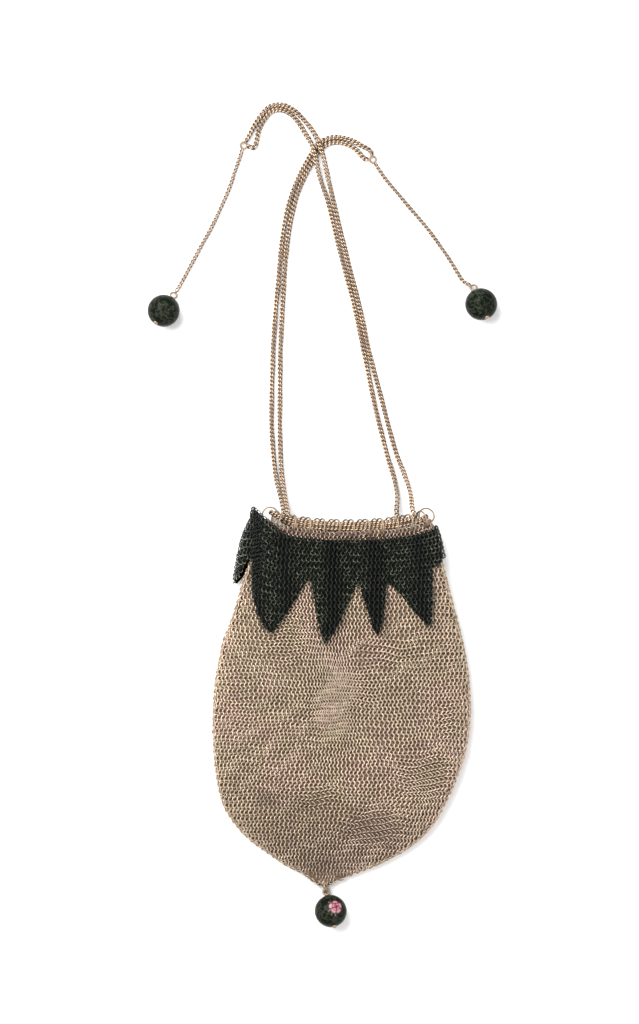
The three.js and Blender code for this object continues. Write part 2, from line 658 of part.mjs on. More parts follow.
// The rim ring angles that a drawstring passes, from its front exit to its back exit: the left one goes round
// the mouth's right edge, and the right one round its left edge
function passedAngles(side, frontAngle, backAngle) {
  if (side === 'right') return ringAngles.filter((angle) => angle > frontAngle && angle < backAngle);
  const front = ringAngles.filter((angle) => angle < frontAngle);
  const back = ringAngles.filter((angle) => angle > backAngle);
  return [...front.reverse(), ...back.reverse()];
}

// One drawstring: in along one strand, round the mouth through the rim rings, and out along the other
function makeDrawstring(side) {
  const { route, exits, dive, ring, last } = DRAWSTRINGS[side];
  const place = STRAND_PLACES[side];
  const frontAngle = gapAngle(BAG_HALF_WIDTH * exits.front, true);
  const backAngle = gapAngle(BAG_HALF_WIDTH * exits.back, false);
  const round = passedAngles(side, frontAngle, backAngle).map((angle) => strandPoint(angle, place));
  const centre = layPoint(ring);
  const strand = (angle, turned, lastPoint) => {
    const near = strandPoint(angle, place, EXIT_NEAR, dive * EXIT_NEAR_DIVE);
    const far = strandPoint(angle, place, EXIT_FAR, dive);
    const end = layPoint(lastPoint);
    return [near, far, ...freeStrand(route, turned, far), end, meet(centre, end, END_RING_OUTER / 2)];
  };
  return makeChain([
    ...strand(frontAngle, 1, last.front).reverse(),
    ...round,
    ...strand(backAngle, -1, last.back),
  ]);
}

// A ball with its pin: the pin runs through the ball's middle and dips towards the eye
function ballFrame(x, y, turn, tilt) {
  const t = THREE.MathUtils.degToRad(turn);
  const d = THREE.MathUtils.degToRad(tilt);
  const up = new THREE.Vector3(Math.cos(t) * Math.cos(d), Math.sin(t) * Math.cos(d), -Math.sin(d));
  const through = new THREE.Vector3(Math.sin(t), -Math.cos(t), 0);
  const centre = new THREE.Vector3(x, y, BALL_RADIUS);
  const eye = centre.clone().addScaledVector(up, PIN_EYE_OFFSET);
  return { centre, up, through, axis: through.clone().cross(up), eye };
}

function makeBall() {
  const bore = PIN_WIRE / 2 + GAP;
  const from = Math.acos(bore / BALL_RADIUS);
  const profile = [];
  for (let i = 0; i <= BALL_ROWS; i += 1) {
    const a = -from + (2 * from * i) / BALL_ROWS;
    profile.push(new THREE.Vector2(BALL_RADIUS * Math.cos(a), BALL_RADIUS * Math.sin(a)));
  }
  profile.push(profile[0].clone());
  return new THREE.LatheGeometry(profile, BALL_SIDES);
}

// The eye pin, along +Y: a loop beyond the ball, a shaft through it and a rivet head at the far side
function makePin() {
  const eye = makeRing(PIN_EYE_RADIUS, PIN_WIRE, LINK_STEPS).translate(0, PIN_EYE_OFFSET, 0);
  const head = -BALL_RADIUS - GAP / 2;
  const top = PIN_EYE_OFFSET - PIN_EYE_RADIUS;
  const shaft = new THREE.CylinderGeometry(PIN_WIRE / 2, PIN_WIRE / 2, top - head, WIRE_SIDES + 1);
  shaft.translate(0, (top + head) / 2, 0);
  const headRadius = PIN_HEAD_DIAMETER / 2;
  const rivet = new THREE.CylinderGeometry(headRadius, headRadius, PIN_HEAD_LENGTH, HOLE_SIDES);
  rivet.translate(0, head - PIN_HEAD_LENGTH / 2 + JOIN, 0);
  return toGeometry(toSolid(eye).add(toSolid(shaft)).add(toSolid(rivet)));
}

function addBall(side, frame) {
  const basis = new THREE.Matrix4().makeBasis(frame.through, frame.up, frame.axis);
  const holder = new THREE.Group();
  holder.quaternion.setFromRotationMatrix(basis);
  holder.position.copy(frame.centre);
  purse.add(holder);
  addPiece(`ball_${side}`, makeBall(), 'dark_glass', holder);
  addPiece(`ball_pin_${side}`, makePin(), 'ring_wire', holder);
}

// The bottom ball hangs from the tip's hole by the tip link, which lies between the hole and the pin's eye
function bottomBallFrame() {
  const turn = THREE.MathUtils.degToRad(BOTTOM_BALL.turn);
  const toTip = new THREE.Vector3(Math.cos(turn), Math.sin(turn), 0);
  const eye = tipHole.clone().addScaledVector(toTip, -2 * TIP_LINK_RADIUS);
  const reach = PIN_EYE_OFFSET * Math.cos(THREE.MathUtils.degToRad(BOTTOM_BALL.tilt));
  const ball = eye.clone().addScaledVector(toTip, -reach);
  return ballFrame(ball.x, ball.y, BOTTOM_BALL.turn, BOTTOM_BALL.tilt);
}

addPiece('mesh_bag', makeBag(), 'ring_mesh');
addPiece('collar', makeCollar(), 'dark_ring_mesh');

ringAngles.forEach((angle, i) => {
  const name = `rim_ring_${String(i + 1).padStart(2, '0')}`;
  addRing(name, rimRingFrame(angle), RIM_RING_RADIUS, RIM_RING_WIRE, RIM_RING_STEPS);
});

for (const side of ['left', 'right']) {
  addPiece(`drawstring_${side}`, makeDrawstring(side), 'curb_chain');
  const flat = {
    through: new THREE.Vector3(1, 0, 0),
    up: new THREE.Vector3(0, 1, 0),
    axis: new THREE.Vector3(0, 0, 1),
    centre: layPoint(DRAWSTRINGS[side].ring),
  };
  addRing(`end_ring_${side}`, flat, (END_RING_OUTER - END_RING_WIRE) / 2, END_RING_WIRE, LINK_STEPS);
}

// The left ball hangs from the right drawstring's end and the right ball from the left one's
for (const [side, drawstring] of [['left', 'right'], ['right', 'left']]) {
  const { x, y, turn, tilt } = SIDE_BALLS[side];
  const frame = ballFrame(x, RIM_Y + y, turn, tilt);
  addBall(side, frame);
  const centre = layPoint(DRAWSTRINGS[drawstring].ring);
  const route = DROP_ROUTES[side].map(layPoint);
  route.unshift(meet(centre, route[0], END_RING_OUTER / 2));
  route.push(meet(frame.eye, route.at(-1), PIN_EYE_OUTER));
  addPiece(`drop_chain_${side}`, makeChain(route), 'curb_chain');
}

const bottom = bottomBallFrame();
addBall('bottom', bottom);
const linkUp = tipHole.clone().sub(bottom.eye).normalize();
const linkThrough = new THREE.Vector3(0, 0, 1);
linkThrough.addScaledVector(linkUp, -linkThrough.dot(linkUp)).normalize();
addRing(
  'tip_link',
  {
    through: linkThrough,
    up: linkUp,
    axis: linkThrough.clone().cross(linkUp),
    centre: tipHole.clone().add(bottom.eye).multiplyScalar(0.5),
  },
  TIP_LINK_RADIUS,
  TIP_LINK_WIRE,
  LINK_STEPS,
);

export default purse;
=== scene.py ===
import math

import bpy
import numpy as np
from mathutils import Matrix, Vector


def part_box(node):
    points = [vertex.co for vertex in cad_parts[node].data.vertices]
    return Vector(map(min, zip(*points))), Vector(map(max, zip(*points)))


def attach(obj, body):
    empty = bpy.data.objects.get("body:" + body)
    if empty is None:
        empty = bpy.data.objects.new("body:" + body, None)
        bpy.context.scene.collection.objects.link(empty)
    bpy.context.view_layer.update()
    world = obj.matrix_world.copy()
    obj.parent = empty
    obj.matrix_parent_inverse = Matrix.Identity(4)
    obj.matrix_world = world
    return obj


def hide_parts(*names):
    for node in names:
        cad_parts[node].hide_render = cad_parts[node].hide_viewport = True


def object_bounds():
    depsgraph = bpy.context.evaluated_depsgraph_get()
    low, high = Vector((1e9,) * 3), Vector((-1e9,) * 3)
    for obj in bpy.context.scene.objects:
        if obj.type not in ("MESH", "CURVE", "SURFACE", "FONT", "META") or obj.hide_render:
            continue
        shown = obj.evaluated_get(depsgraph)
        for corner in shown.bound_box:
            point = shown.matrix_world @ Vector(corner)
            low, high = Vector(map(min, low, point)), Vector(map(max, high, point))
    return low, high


bl_info = {
    "name": "Metal Mesh Purse",
    "version": (1, 0, 0),
    "blender": (4, 5, 0),
    "location": "View3D > Sidebar > Purse",
    "description": "Ring mesh, curb chains, rings and glass balls of a metal mesh drawstring purse",
    "category": "Object",
}

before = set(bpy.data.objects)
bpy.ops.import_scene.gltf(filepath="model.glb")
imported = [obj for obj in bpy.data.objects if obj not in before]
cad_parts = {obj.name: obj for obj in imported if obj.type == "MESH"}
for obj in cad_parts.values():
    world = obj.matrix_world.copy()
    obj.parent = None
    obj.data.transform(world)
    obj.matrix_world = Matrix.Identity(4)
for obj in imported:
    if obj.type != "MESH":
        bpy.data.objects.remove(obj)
cad_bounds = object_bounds()

# The frame's axes: X across the bag, Y from its tip to its mouth and on along the chains, Z up from the
# surface. All sizes are in metres.
bag_low, bag_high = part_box("mesh_bag")

# Form of the bag
RIM_SAG = 0.0052
RIM_SAG_FROM = 0.8
RIM_SAG_ROUNDNESS = 1.2
BAG_HALF_WIDTH = (bag_high.x - bag_low.x) / 2
TIP_Y = bag_low.y
BAG_LENGTH = bag_high.y - TIP_Y - RIM_SAG
RIM_Y = TIP_Y + BAG_LENGTH
BAG_HEIGHT = 0.016
TIP_LIFT = 0.0019
MESH_WALL = 0.0012
DOME = 0.8
FLAT_FROM = 0.45
FOLD_SOFTNESS = 0.7

# Form of the collar
COLLAR_WALL = 0.0011
COLLAR_GAP = 0.0004
COLLAR_LAYER = 0.00155
COLLAR_BELOW_RIM = 0.0028
POINT_LENGTH = 0.0454
FLUTE_HEIGHT = 0.0016
LOBE_ANGLE = 168
LOBE_SPREAD = 30
LOBE_REACH = 0.0076
LOBE_TAPER = 0.7
LOBE_TUCK = 0.4
LOBE_RAISE = 0.0078
LOBE_RAISE_SPREAD = 22
LOBE_HEIGHT = 0.003
LOBE_DROOP = 0.4
LOBE_HANG_ANGLE = 188
LOBE_HANG_SPREAD = 16

# Rings through the rim, and the drawstrings' places in them
RIM_RING_WIRE = 0.0007
RIM_RING_RADIUS = (0.0069 - RIM_RING_WIRE) / 2
RIM_RING_COUNT = 24
RIM_RING_TURN = math.radians(32)
RIM_RING_LEAN = math.radians(6)
RIM_RING_PHASE = 0.75
RIM_RING_EASE = 0.8
RIM_RING_EASE_SHARPNESS = 6
EYELET_DEPTH = 0.0014
GAP = 0.0003
MOUTH_LIFT = RIM_RING_RADIUS * math.cos(RIM_RING_TURN) + RIM_RING_WIRE / 2 + GAP - MESH_WALL / 2
STRING_RADIUS = 0.0008
STRING_HEIGHT = 0.0009
STRING_ABOVE_RIM = 0.0005
STRING_PLACES = {
    "left": (STRING_ABOVE_RIM + STRING_RADIUS, -0.0003),
    "right": (STRING_ABOVE_RIM + 3 * STRING_RADIUS, 0.0005),
}
EXIT_NEAR = 0.0009
EXIT_FAR = 0.0036
EXIT_NEAR_DIVE = 0.7
DRAPE_LENGTH = 0.026

# Width and wire of the drop chains' links as a share of the drawstrings'
DROP_FINENESS = 0.8

# Small rings, pins and balls
END_RING_WIRE = 0.0008
END_RING_OUTER = 0.0034
TIP_LINK_WIRE = 0.0007
TIP_LINK_RADIUS = (0.0045 - TIP_LINK_WIRE) / 2
TIP_HOLE_MARGIN = 0.0016
BALL_RADIUS = 0.00645
PIN_WIRE = 0.0008
PIN_EYE_RADIUS = (0.0018 + PIN_WIRE) / 2
PIN_EYE_OUTER = PIN_EYE_RADIUS + PIN_WIRE / 2
PIN_EYE_OFFSET = BALL_RADIUS + GAP + PIN_EYE_OUTER
PIN_HEAD_RADIUS = 0.00095
PIN_HEAD_LENGTH = 0.0006

# Sections of the bag from its tip to its rim. along is a share of its length, left and right are shares of
# its half width, top of its height, edge of the height from its underside to its top, and the rest are shares
# of the lifts that they are named for.
SECTION_COLUMNS = ("along", "left", "right", "tip", "under", "rise", "edge", "top")
SECTIONS = np.array([
    (0.000, -0.168, -0.108, 1.00, 0.00, 0.00, 0.50, 0.200),
    (0.012, -0.216, -0.056, 0.97, 0.00, 0.00, 0.48, 0.205),
    (0.034, -0.298, 0.089, 0.60, 0.00, 0.00, 0.45, 0.280),
    (0.065, -0.453, 0.298, 0.22, 0.00, 0.00, 0.40, 0.400),
    (0.102, -0.601, 0.488, 0.00, 0.00, 0.00, 0.34, 0.540),
    (0.138, -0.733, 0.620, 0.00, 0.00, 0.00, 0.31, 0.660),
    (0.186, -0.849, 0.733, 0.00, 0.00, 0.00, 0.30, 0.770),
    (0.235, -0.925, 0.810, 0.00, 0.00, 0.00, 0.30, 0.860),
    (0.300, -0.967, 0.890, 0.00, 0.00, 0.00, 0.30, 0.940),
    (0.380, -0.993, 0.962, 0.00, 0.00, 0.00, 0.30, 0.985),
    (0.482, -1.000, 1.000, 0.00, 0.00, 0.00, 0.30, 1.000),
    (0.580, -0.982, 0.990, 0.00, 0.00, 0.00, 0.30, 0.990),
    (0.640, -0.952, 0.968, 0.00, 0.20, 0.00, 0.30, 0.980),
    (0.694, -0.922, 0.938, 0.00, 1.00, 0.00, 0.31, 0.960),
    (0.762, -0.849, 0.891, 0.00, 1.00, 0.00, 0.33, 0.930),
    (0.843, -0.780, 0.830, 0.00, 1.00, 0.00, 0.36, 0.905),
    (0.920, -0.690, 0.765, 0.00, 1.00, 0.15, 0.43, 0.890),
    (0.965, -0.632, 0.728, 0.00, 1.00, 0.60, 0.48, 0.885),
    (1.000, -0.580, 0.686, 0.00, 1.00, 1.00, 0.50, 0.880),
])

# Soft folds of the front: where across the bag each fold's upper and lower ends lie, the shares of the length
# between which it runs, its width and its depth, as shares of the half width and of the height
FOLDS = (
    (-0.06, 0.03, 0.24, 1.05, 0.20, 0.110),
    (0.30, 0.42, 0.62, 1.05, 0.12, 0.075),
    (-0.42, -0.50, 0.58, 1.05, 0.13, 0.060),
    (0.62, 0.12, 0.10, 0.40, 0.12, 0.070),
    (-0.62, -0.30, 0.12, 0.34, 0.14, 0.045),
    (0.72, 0.74, 0.44, 0.80, 0.13, 0.040),
)

# Points of the collar and the notches between them, round the mouth from the right edge over the front: the
# angle in degrees, the drop as a share of the longest point, the flute as a share of the flutes' height
COLLAR_EDGE = np.array([
    (4, 0.30, 0.0), (31, 0.36, 0.3), (45, 0.84, 0.9), (66, 0.46, 0.1), (74, 0.93, 1.0), (83, 0.47, 0.1),
    (98, 1.00, 1.0), (110, 0.43, 0.1), (126, 0.895, 0.9), (165, 0.285, 0.0), (181, 0.48, 0.0),
    (192, 0.49, 0.0), (206, 0.33, 0.0), (224, 0.80, 0.0), (240, 0.46, 0.0), (255, 0.86, 0.0),
    (271, 0.46, 0.0), (287, 0.86, 0.0), (303, 0.46, 0.0), (322, 0.80, 0.0), (346, 0.30, 0.0),
    (364, 0.30, 0.0),
])

# Route of each drawstring's two strands from the mouth to its end ring: the middle of the pair, how far apart
# the strands lie and how high they pass over what they cross. Y is measured from the rim's front.
LEFT_ROUTE = (
    (-0.0250, 0.0146, 0.0023, 0), (-0.0257, 0.0236, 0.0027, 0), (-0.0262, 0.0386, 0.0032, 0),
    (-0.0263, 0.0526, 0.0033, 0), (-0.0261, 0.0646, 0.0031, 0), (-0.0257, 0.0766, 0.0029, 0),
    (-0.0250, 0.0886, 0.0027, 0), (-0.0241, 0.1006, 0.0023, 0), (-0.0229, 0.1146, 0.0022, 0),
    (-0.0210, 0.1266, 0.0022, 0), (-0.0188, 0.1346, 0.0021, 0), (-0.0160, 0.1416, 0.0020, 0),
    (-0.0132, 0.1472, 0.0020, 0), (-0.0106, 0.1516, 0.0020, 0), (-0.0076, 0.1549, 0.0020, 0),
    (-0.0038, 0.1565, 0.0020, 0), (0.0002, 0.1564, 0.0020, 0), (0.0039, 0.1552, 0.0022, 0),
    (0.0072, 0.1532, 0.0027, 0),
)
RIGHT_ROUTE = (
    (0.0248, 0.0146, 0.0040, 0), (0.0226, 0.0216, 0.0038, 0), (0.0200, 0.0306, 0.0036, 0),
    (0.0172, 0.0416, 0.0034, 0), (0.0142, 0.0536, 0.0031, 0), (0.0116, 0.0646, 0.0024, 0),
    (0.0096, 0.0736, 0.0020, 0), (0.0069, 0.0866, 0.0020, 0), (0.0037, 0.0996, 0.0020, 0),
    (0.0006, 0.1116, 0.0021, 0), (-0.0024, 0.1236, 0.0021, 0), (-0.0046, 0.1331, 0.0023, 0.0002),
    (-0.0065, 0.1396, 0.0030, 0.0010), (-0.0080, 0.1456, 0.0032, 0.0018), (-0.0092, 0.1511, 0.0030, 0.0020),
    (-0.0110, 0.1559, 0.0030, 0.0020), (-0.0133, 0.1599, 0.0031, 0.0013), (-0.0158, 0.1636, 0.0025, 0.0003),
    (-0.0194, 0.1674, 0.0021, 0), (-0.0240, 0.1696, 0.0020, 0), (-0.0283, 0.1689, 0.0020, 0),
    (-0.0313, 0.1658, 0.0021, 0), (-0.0339, 0.1616, 0.0025, 0),
)

# Each drawstring: its route, where across the bag its front and back strands leave the mouth, how far they
# dive inward there, the middle of its end ring, and each strand's last point before that ring
DRAWSTRINGS = {
    "left": (LEFT_ROUTE, (-0.438, -0.438), 0.00175, (0.0124, 0.1488), ((0.0091, 0.1491), (0.0116, 0.1522))),
    "right": (RIGHT_ROUTE, (0.531, 0.453), 0.0, (-0.0392, 0.1544), ((-0.0372, 0.1579), (-0.0351, 0.1536))),
}

# Route of each single chain from its end ring to its ball
DROP_ROUTES = {
    "left": (
        (-0.0402, 0.1512), (-0.0422, 0.1452), (-0.0448, 0.1376), (-0.0476, 0.1310), (-0.0522, 0.1212),
        (-0.0562, 0.1140), (-0.0602, 0.1066), (-0.0642, 0.0992),
    ),
    "right": (
        (0.0146, 0.1452), (0.0172, 0.1414), (0.0226, 0.1350), (0.0286, 0.1278), (0.0342, 0.1212),
        (0.0390, 0.1148), (0.0434, 0.1084), (0.0466, 0.1030), (0.0484, 0.1003),
    ),
}

# The drawstring whose end ring carries each of them
CARRIED_BY = {"left": "right", "right": "left"}

# Where each side ball lies, the direction of its pin in degrees from +X, and how far the pin dips
SIDE_BALLS = {"left": (-0.0709, 0.0880, 58.6, 29), "right": (0.0556, 0.0906, 112.6, 29)}
BOTTOM_BALL_TURN = 104
BOTTOM_BALL_TILT = 27

# Where the mesh is drawn together: the middle across the bag, the half width, and the shares of the length
# between which it is, as the bag's folds leave it, and how much closer the columns stand there
GATHERS = (
    (-0.0035, 0.0100, 0.24, 0.84, 0.46),
    (-0.0150, 0.0045, 0.56, 0.98, 0.22),
    (0.0330, 0.0050, 0.02, 0.50, 0.24),
)

# Patches where the rings tip up, so that their rows show as ridges: the middle across and along the bag, the
# half width and half length, how far the rings tip as a share, and how many degrees the ridges turn
RIDGES = (
    (-0.0206, 0.0330, 0.0110, 0.0150, 0.60, 0),
    (-0.0056, 0.0010, 0.0100, 0.0140, 0.70, 0),
    (0.0078, 0.0104, 0.0060, 0.0110, 0.55, -5),
    (0.0164, 0.0246, 0.0120, 0.0055, 0.60, -9),
    (0.0330, -0.0240, 0.0110, 0.0110, 0.90, 12),
    (0.0420, -0.0010, 0.0040, 0.0100, 0.60, 12),
    (0.0130, -0.0445, 0.0130, 0.0085, 0.82, 14),
    (-0.0090, -0.0320, 0.0080, 0.0045, 0.75, 6),
    (-0.0400, 0.0060, 0.0060, 0.0160, 0.35, 0),
)
RIDGE_TIP = 1.0
RIDGE_STRAIGHTENING = 0.45

# The steepest ridges take two rows each: from this share on, one row stands up and the next one is darkened
# with painted shade
STEEP_RIDGE = 0.7
RIDGE_SHADE = 0.35
RIDGE_RISE = 0.0004

# Patches where the mesh is dull and dark, in the same way, and how dark they are
STAINS = (
    (-0.0290, -0.0330, 0.0050, 0.0040, 0.30),
    (0.0130, -0.0445, 0.0110, 0.0070, 0.10),
    (-0.0040, -0.0460, 0.0300, 0.0150, 0.20),
    (-0.0070, -0.0620, 0.0100, 0.0070, 0.25),
    (-0.0130, -0.0350, 0.0100, 0.0030, 0.12),
    (0.0080, 0.0250, 0.0030, 0.0060, 0.15),
)

# Pleats of the collar, whose rings sink in and are darkened with painted shade: where across it each pleat
# lies at the top, how far it drifts on its way down, its half width and its depth
PLEATS = (
    (-0.0040, 0.0010, 0.0034, 0.0009),
    (0.0120, 0.0020, 0.0036, 0.0010),
    (-0.0235, 0.0045, 0.0026, 0.0006),
    (0.0300, 0.0030, 0.0026, 0.0006),
    (-0.0330, 0.0000, 0.0024, 0.0004),
)

# How much further apart than elsewhere the columns stand at the side edges, and how much painted shade
# darkens the rings of the back, which lie under the front
EDGE_SLACK = 1.2
BACK_PAINTED_SHADE = 0.25

# How far the rings draw in at the tip, and the rings that hang there in a small bunch round the tip link
TIP_INSET = 0.0008
TIP_RING_COUNT = 24

# How deep the rings lie in the wall, as a share of their diameter, how far below the rim the last row lies,
# and how many columns at each side edge are left to the rings that follow the edge
RING_INSET = 0.22
LAST_ROW_DEPTH = 0.0009
EDGE_COLUMNS = 1.9

# The band along the rim where the mesh takes the rim's colour, and the depth at which it has faded out
RIM_BAND = 0.002
RIM_BAND_END = 0.0045

# How far under the collar's upper and lower edges the bag's rings still go on
COLLAR_COVER_TOP = 0.0035
COLLAR_COVER_EDGE = 0.004

# Steps in angle and share by which the directions of the bag's surface are measured
ANGLE_STEP = 0.004
SHARE_STEP = 0.002

# How much the rings differ by chance, in turn, size and place, and how far they stay clear of the surface
TURN_CHANCE = 0.06
SIZE_CHANCE = 0.015
PLACE_CHANCE = 0.00003
SURFACE_CLEARANCE = 0.00002

# Strokes of the painted rose, from its outer ring inward: how many, how far from its middle, their length and
# width, how high they stand, where the first one lies and how dark they are
ROSE = (
    (1, 0.0, 0.0056, 0.0052, 0.00001, 0.0, 1.0),
    (5, 0.00195, 0.0028, 0.0021, 0.00006, 0.3, 0.0),
    (1, 0.0, 0.0033, 0.0030, 0.00011, 0.6, 1.0),
    (4, 0.00105, 0.0019, 0.0011, 0.00015, 0.9, 0.1),
    (1, 0.0, 0.0015, 0.0013, 0.00019, 0.2, 1.0),
    (1, 0.00035, 0.0008, 0.0004, 0.00022, 2.2, 0.2),
)

# The way that the rose faces, and where each of its leaves lies: its angle in degrees and how far it is off
ROSE_FACING = (0.0021, 0.0024, 0.0060)
LEAVES = ((205, 0.0034), (236, 0.0036), (262, 0.0033), (135, 0.0033))

# The stage: the floor's width and how far it lies below the purse, each light's place from the middle of the
# purse, its height and its width, and the camera's place and sensor in millimetres
FLOOR_WIDTH = 3.0
FLOOR_DROP = 0.0001
LIGHTS = {"key": (-0.55, 0.55, 1.0, 1.2), "fill": (0.7, -0.6, 0.9, 1.4)}
CAMERA_PLACE = (-0.0088, 0.0812)
SENSOR_HEIGHT = 36.0

# Number of steps and sides of round things
FRONT_STEPS, FRONT_SIDES = 9, 4
BACK_STEPS, BACK_SIDES = 8, 3
COLLAR_STEPS, COLLAR_SIDES = 9, 3
LINK_STEPS, LINK_SIDES = 14, 6
RING_STEPS, RING_SIDES = 32, 10
BALL_STEPS, BALL_ROWS = 72, 36


def unit(vectors):
    """The vectors with their length made one."""
    return vectors / np.linalg.norm(vectors, axis=-1, keepdims=True)


def dot(a, b):
    """Dot product of two lists of vectors, kept as a column."""
    return np.sum(a * b, axis=-1, keepdims=True)


def smoothstep(value, low, high):
    """0 below low, 1 above high and smooth between them."""
    u = np.clip((value - low) / (high - low), 0, 1)
    return u * u * (3 - 2 * u)


def look_up(name, share):
    """Smooth value of one column of the sections at some shares of the bag's length."""
    along = SECTIONS[:, 0]
    values = SECTIONS[:, SECTION_COLUMNS.index(name)]
    rows = np.arange(len(along))
    before = np.maximum(rows - 1, 0)
    after = np.minimum(rows + 1, rows[-1])
    slope = (values[after] - values[before]) / (along[after] - along[before])
    k = np.searchsorted(along[1:-1], share)
    span = along[k + 1] - along[k]
    u = np.clip((share - along[k]) / span, 0, 1)
    here = (1 + 2 * u) * (1 - u) ** 2 * values[k] + u * (1 - u) ** 2 * span * slope[k]
    return here + u * u * (3 - 2 * u) * values[k + 1] + u * u * (u - 1) * span * slope[k + 1]


def fold_depth(across, share):
    """Depth of the soft folds at places on the bag's front."""
    depth = np.zeros(np.broadcast(across, share).shape)
    for upper, lower, start, end, width, deep in FOLDS:
        u = np.clip((share - start) / (end - start), 0, 1)
        place = lower + (upper - lower) * u
        strength = np.clip(np.sin(np.pi * u**FOLD_SOFTNESS), 0, 1) ** FOLD_SOFTNESS
        depth += deep * strength * np.exp(-(((across - place) / width) ** 2))
    return depth * BAG_HEIGHT


def patch(x, y, middle_x, middle_y, half_x, half_y):
    """Share of a patch with a soft edge: 1 over most of it, 0 outside."""
    return np.exp(-((((x - middle_x) / half_x) ** 2 + ((y - middle_y) / half_y) ** 2) ** 2))


def stains(x, y):
    """How dull and dark the mesh is at places on the bag."""
    return sum(amount * patch(x, y, *place) for *place, amount in STAINS)


def ridges(x, y):
    """How far the rings tip up at places on the bag, and the turn of the ridges there."""
    shares = [amount * patch(x, y, *place) for *place, amount, _ in RIDGES]
    total = sum(shares)
    turn = sum(share * math.radians(ridge[-1]) for share, ridge in zip(shares, RIDGES))
    return np.minimum(total, 1), turn / np.maximum(total, 0.001)


def wander(x, y):
    """Smooth strays of the mesh's columns and rows from their places, and the slant of the rows on ridges."""
    across = 0.00034 * np.sin(270 * y + 200 * x + 1.3) + 0.00022 * np.sin(660 * y - 370 * x + 0.4)
    along = 0.00030 * np.sin(230 * x + 150 * y + 0.7) + 0.00018 * np.sin(570 * x - 330 * y)
    for *place, _, turn in RIDGES:
        along = along + math.tan(math.radians(turn)) * (x - place[0]) * patch(x, y, *place)
    return across, along


def bag_point(angle, share, outward=0.0):
    """Points of the bag's surface, or of the one at a distance outward from it. The angle runs round the bag
    from its right edge over the front, the share from the tip to the rim."""
    angle, share, outward = np.broadcast_arrays(angle, share, outward)
    rise = (MOUTH_LIFT - COLLAR_LAYER) * look_up("rise", share)
    base = TIP_LIFT * look_up("tip", share) + COLLAR_LAYER * look_up("under", share) + rise
    top = BAG_HEIGHT * look_up("top", share)
    middle = base + look_up("edge", share) * (top - base)
    left = BAG_HALF_WIDTH * look_up("left", share) - outward
    right = BAG_HALF_WIDTH * look_up("right", share) + outward
    across = np.cos(angle)
    up = np.sin(angle)
    x = (left + right) / 2 + (right - left) / 2 * across
    front = middle + (top + outward - middle) * np.abs(up) ** DOME - fold_depth(across, share) * up
    back = middle - (middle - base + outward) * np.sin(np.pi / 2 * np.minimum(-up / FLAT_FROM, 1))
    sagged = 1 - np.abs(up) ** RIM_SAG_ROUNDNESS
    y = TIP_Y + BAG_LENGTH * share + RIM_SAG * sagged * smoothstep(share, RIM_SAG_FROM, 1)
    return np.stack([x, y, np.where(up < 0, back, front)], axis=-1)


def collar_edge(degrees):
    """Drop of the collar's lower edge below the rim, and the height of its flute."""
    angles, drops, flutes = COLLAR_EDGE.T
    turned = (degrees - angles[0]) % 360 + angles[0]
    k = np.clip(np.searchsorted(angles, turned, side="right") - 1, 0, len(angles) - 2)
    u = (turned - angles[k]) / (angles[k + 1] - angles[k])
    eased = (u + u * u * (3 - 2 * u)) / 2
    drop = POINT_LENGTH * (drops[k] + (drops[k + 1] - drops[k]) * eased)
    return drop, FLUTE_HEIGHT * (flutes[k] + (flutes[k + 1] - flutes[k]) * eased)


def bulge(degrees, middle, spread):
    """Share of a bulge that is highest at one angle and dies away to both sides."""
    return np.exp(-(((degrees % 360 - middle) / spread) ** 2))


def collar_top(degrees):
    """Distance of the collar's upper edge below the rim, less than nothing where its fold stands up."""
    return COLLAR_BELOW_RIM - LOBE_RAISE * bulge(degrees, LOBE_ANGLE, LOBE_RAISE_SPREAD)


def collar_point(degrees, below, outward):
    """Points of the collar at a distance below the rim: the bag's surface set off by a gap, with flutes and
    the free fold at the left, which stands up before the rim, bulges out of the bag and droops."""
    drop, flute = collar_edge(degrees)
    top = collar_top(degrees)
    down = np.clip((below - top) / (drop - top), 0, 1)
    angle = np.radians(degrees % 360)
    point = bag_point(angle, 1 - below / BAG_LENGTH, COLLAR_GAP + outward + flute * down)
    tucked = (1 - LOBE_TAPER * down) * (1 - LOBE_TUCK * (1 - down) ** 4)
    middle = LOBE_ANGLE + (LOBE_HANG_ANGLE - LOBE_ANGLE) * down
    spread = LOBE_SPREAD + (LOBE_HANG_SPREAD - LOBE_SPREAD) * down
    reach = LOBE_REACH * bulge(degrees, middle, spread) * tucked
    point[..., 0] += reach * np.cos(angle)
    point[..., 2] += reach * np.maximum(np.sin(angle), 0) ** DOME
    droop = LOBE_DROOP * bulge(degrees, LOBE_HANG_ANGLE, LOBE_HANG_SPREAD)
    point[..., 2] += (LOBE_HEIGHT - point[..., 2]) * droop
    return point


def rim_frame(angle):
    """Middle of the mesh wall at the rim, and the directions along the rim, out of the mouth and out of the
    bag."""
    step = 0.02
    place = bag_point(angle, 1.0, -MESH_WALL / 2)
    ahead = bag_point(angle + step, 1.0, -MESH_WALL / 2)
    behind = bag_point(angle - step, 1.0, -MESH_WALL / 2)
    along = unit(ahead - behind)
    beyond = place - bag_point(angle, 1 - EYELET_DEPTH / BAG_LENGTH, -MESH_WALL / 2)
    beyond = unit(beyond - along * dot(beyond, along))
    return place, along, beyond, np.cross(beyond, along)


def equal_angles(count):
    """Angles that share the rim's length equally between the rim rings."""
    samples = np.linspace(0, 2 * np.pi, 721)
    places = rim_frame(samples)[0]
    lengths = np.concatenate([[0], np.cumsum(np.linalg.norm(np.diff(places, axis=0), axis=1))])
    wanted = lengths[-1] * (np.arange(count) + RIM_RING_PHASE) / count
    return np.interp(wanted, lengths, samples)


ring_angles = equal_angles(RIM_RING_COUNT)


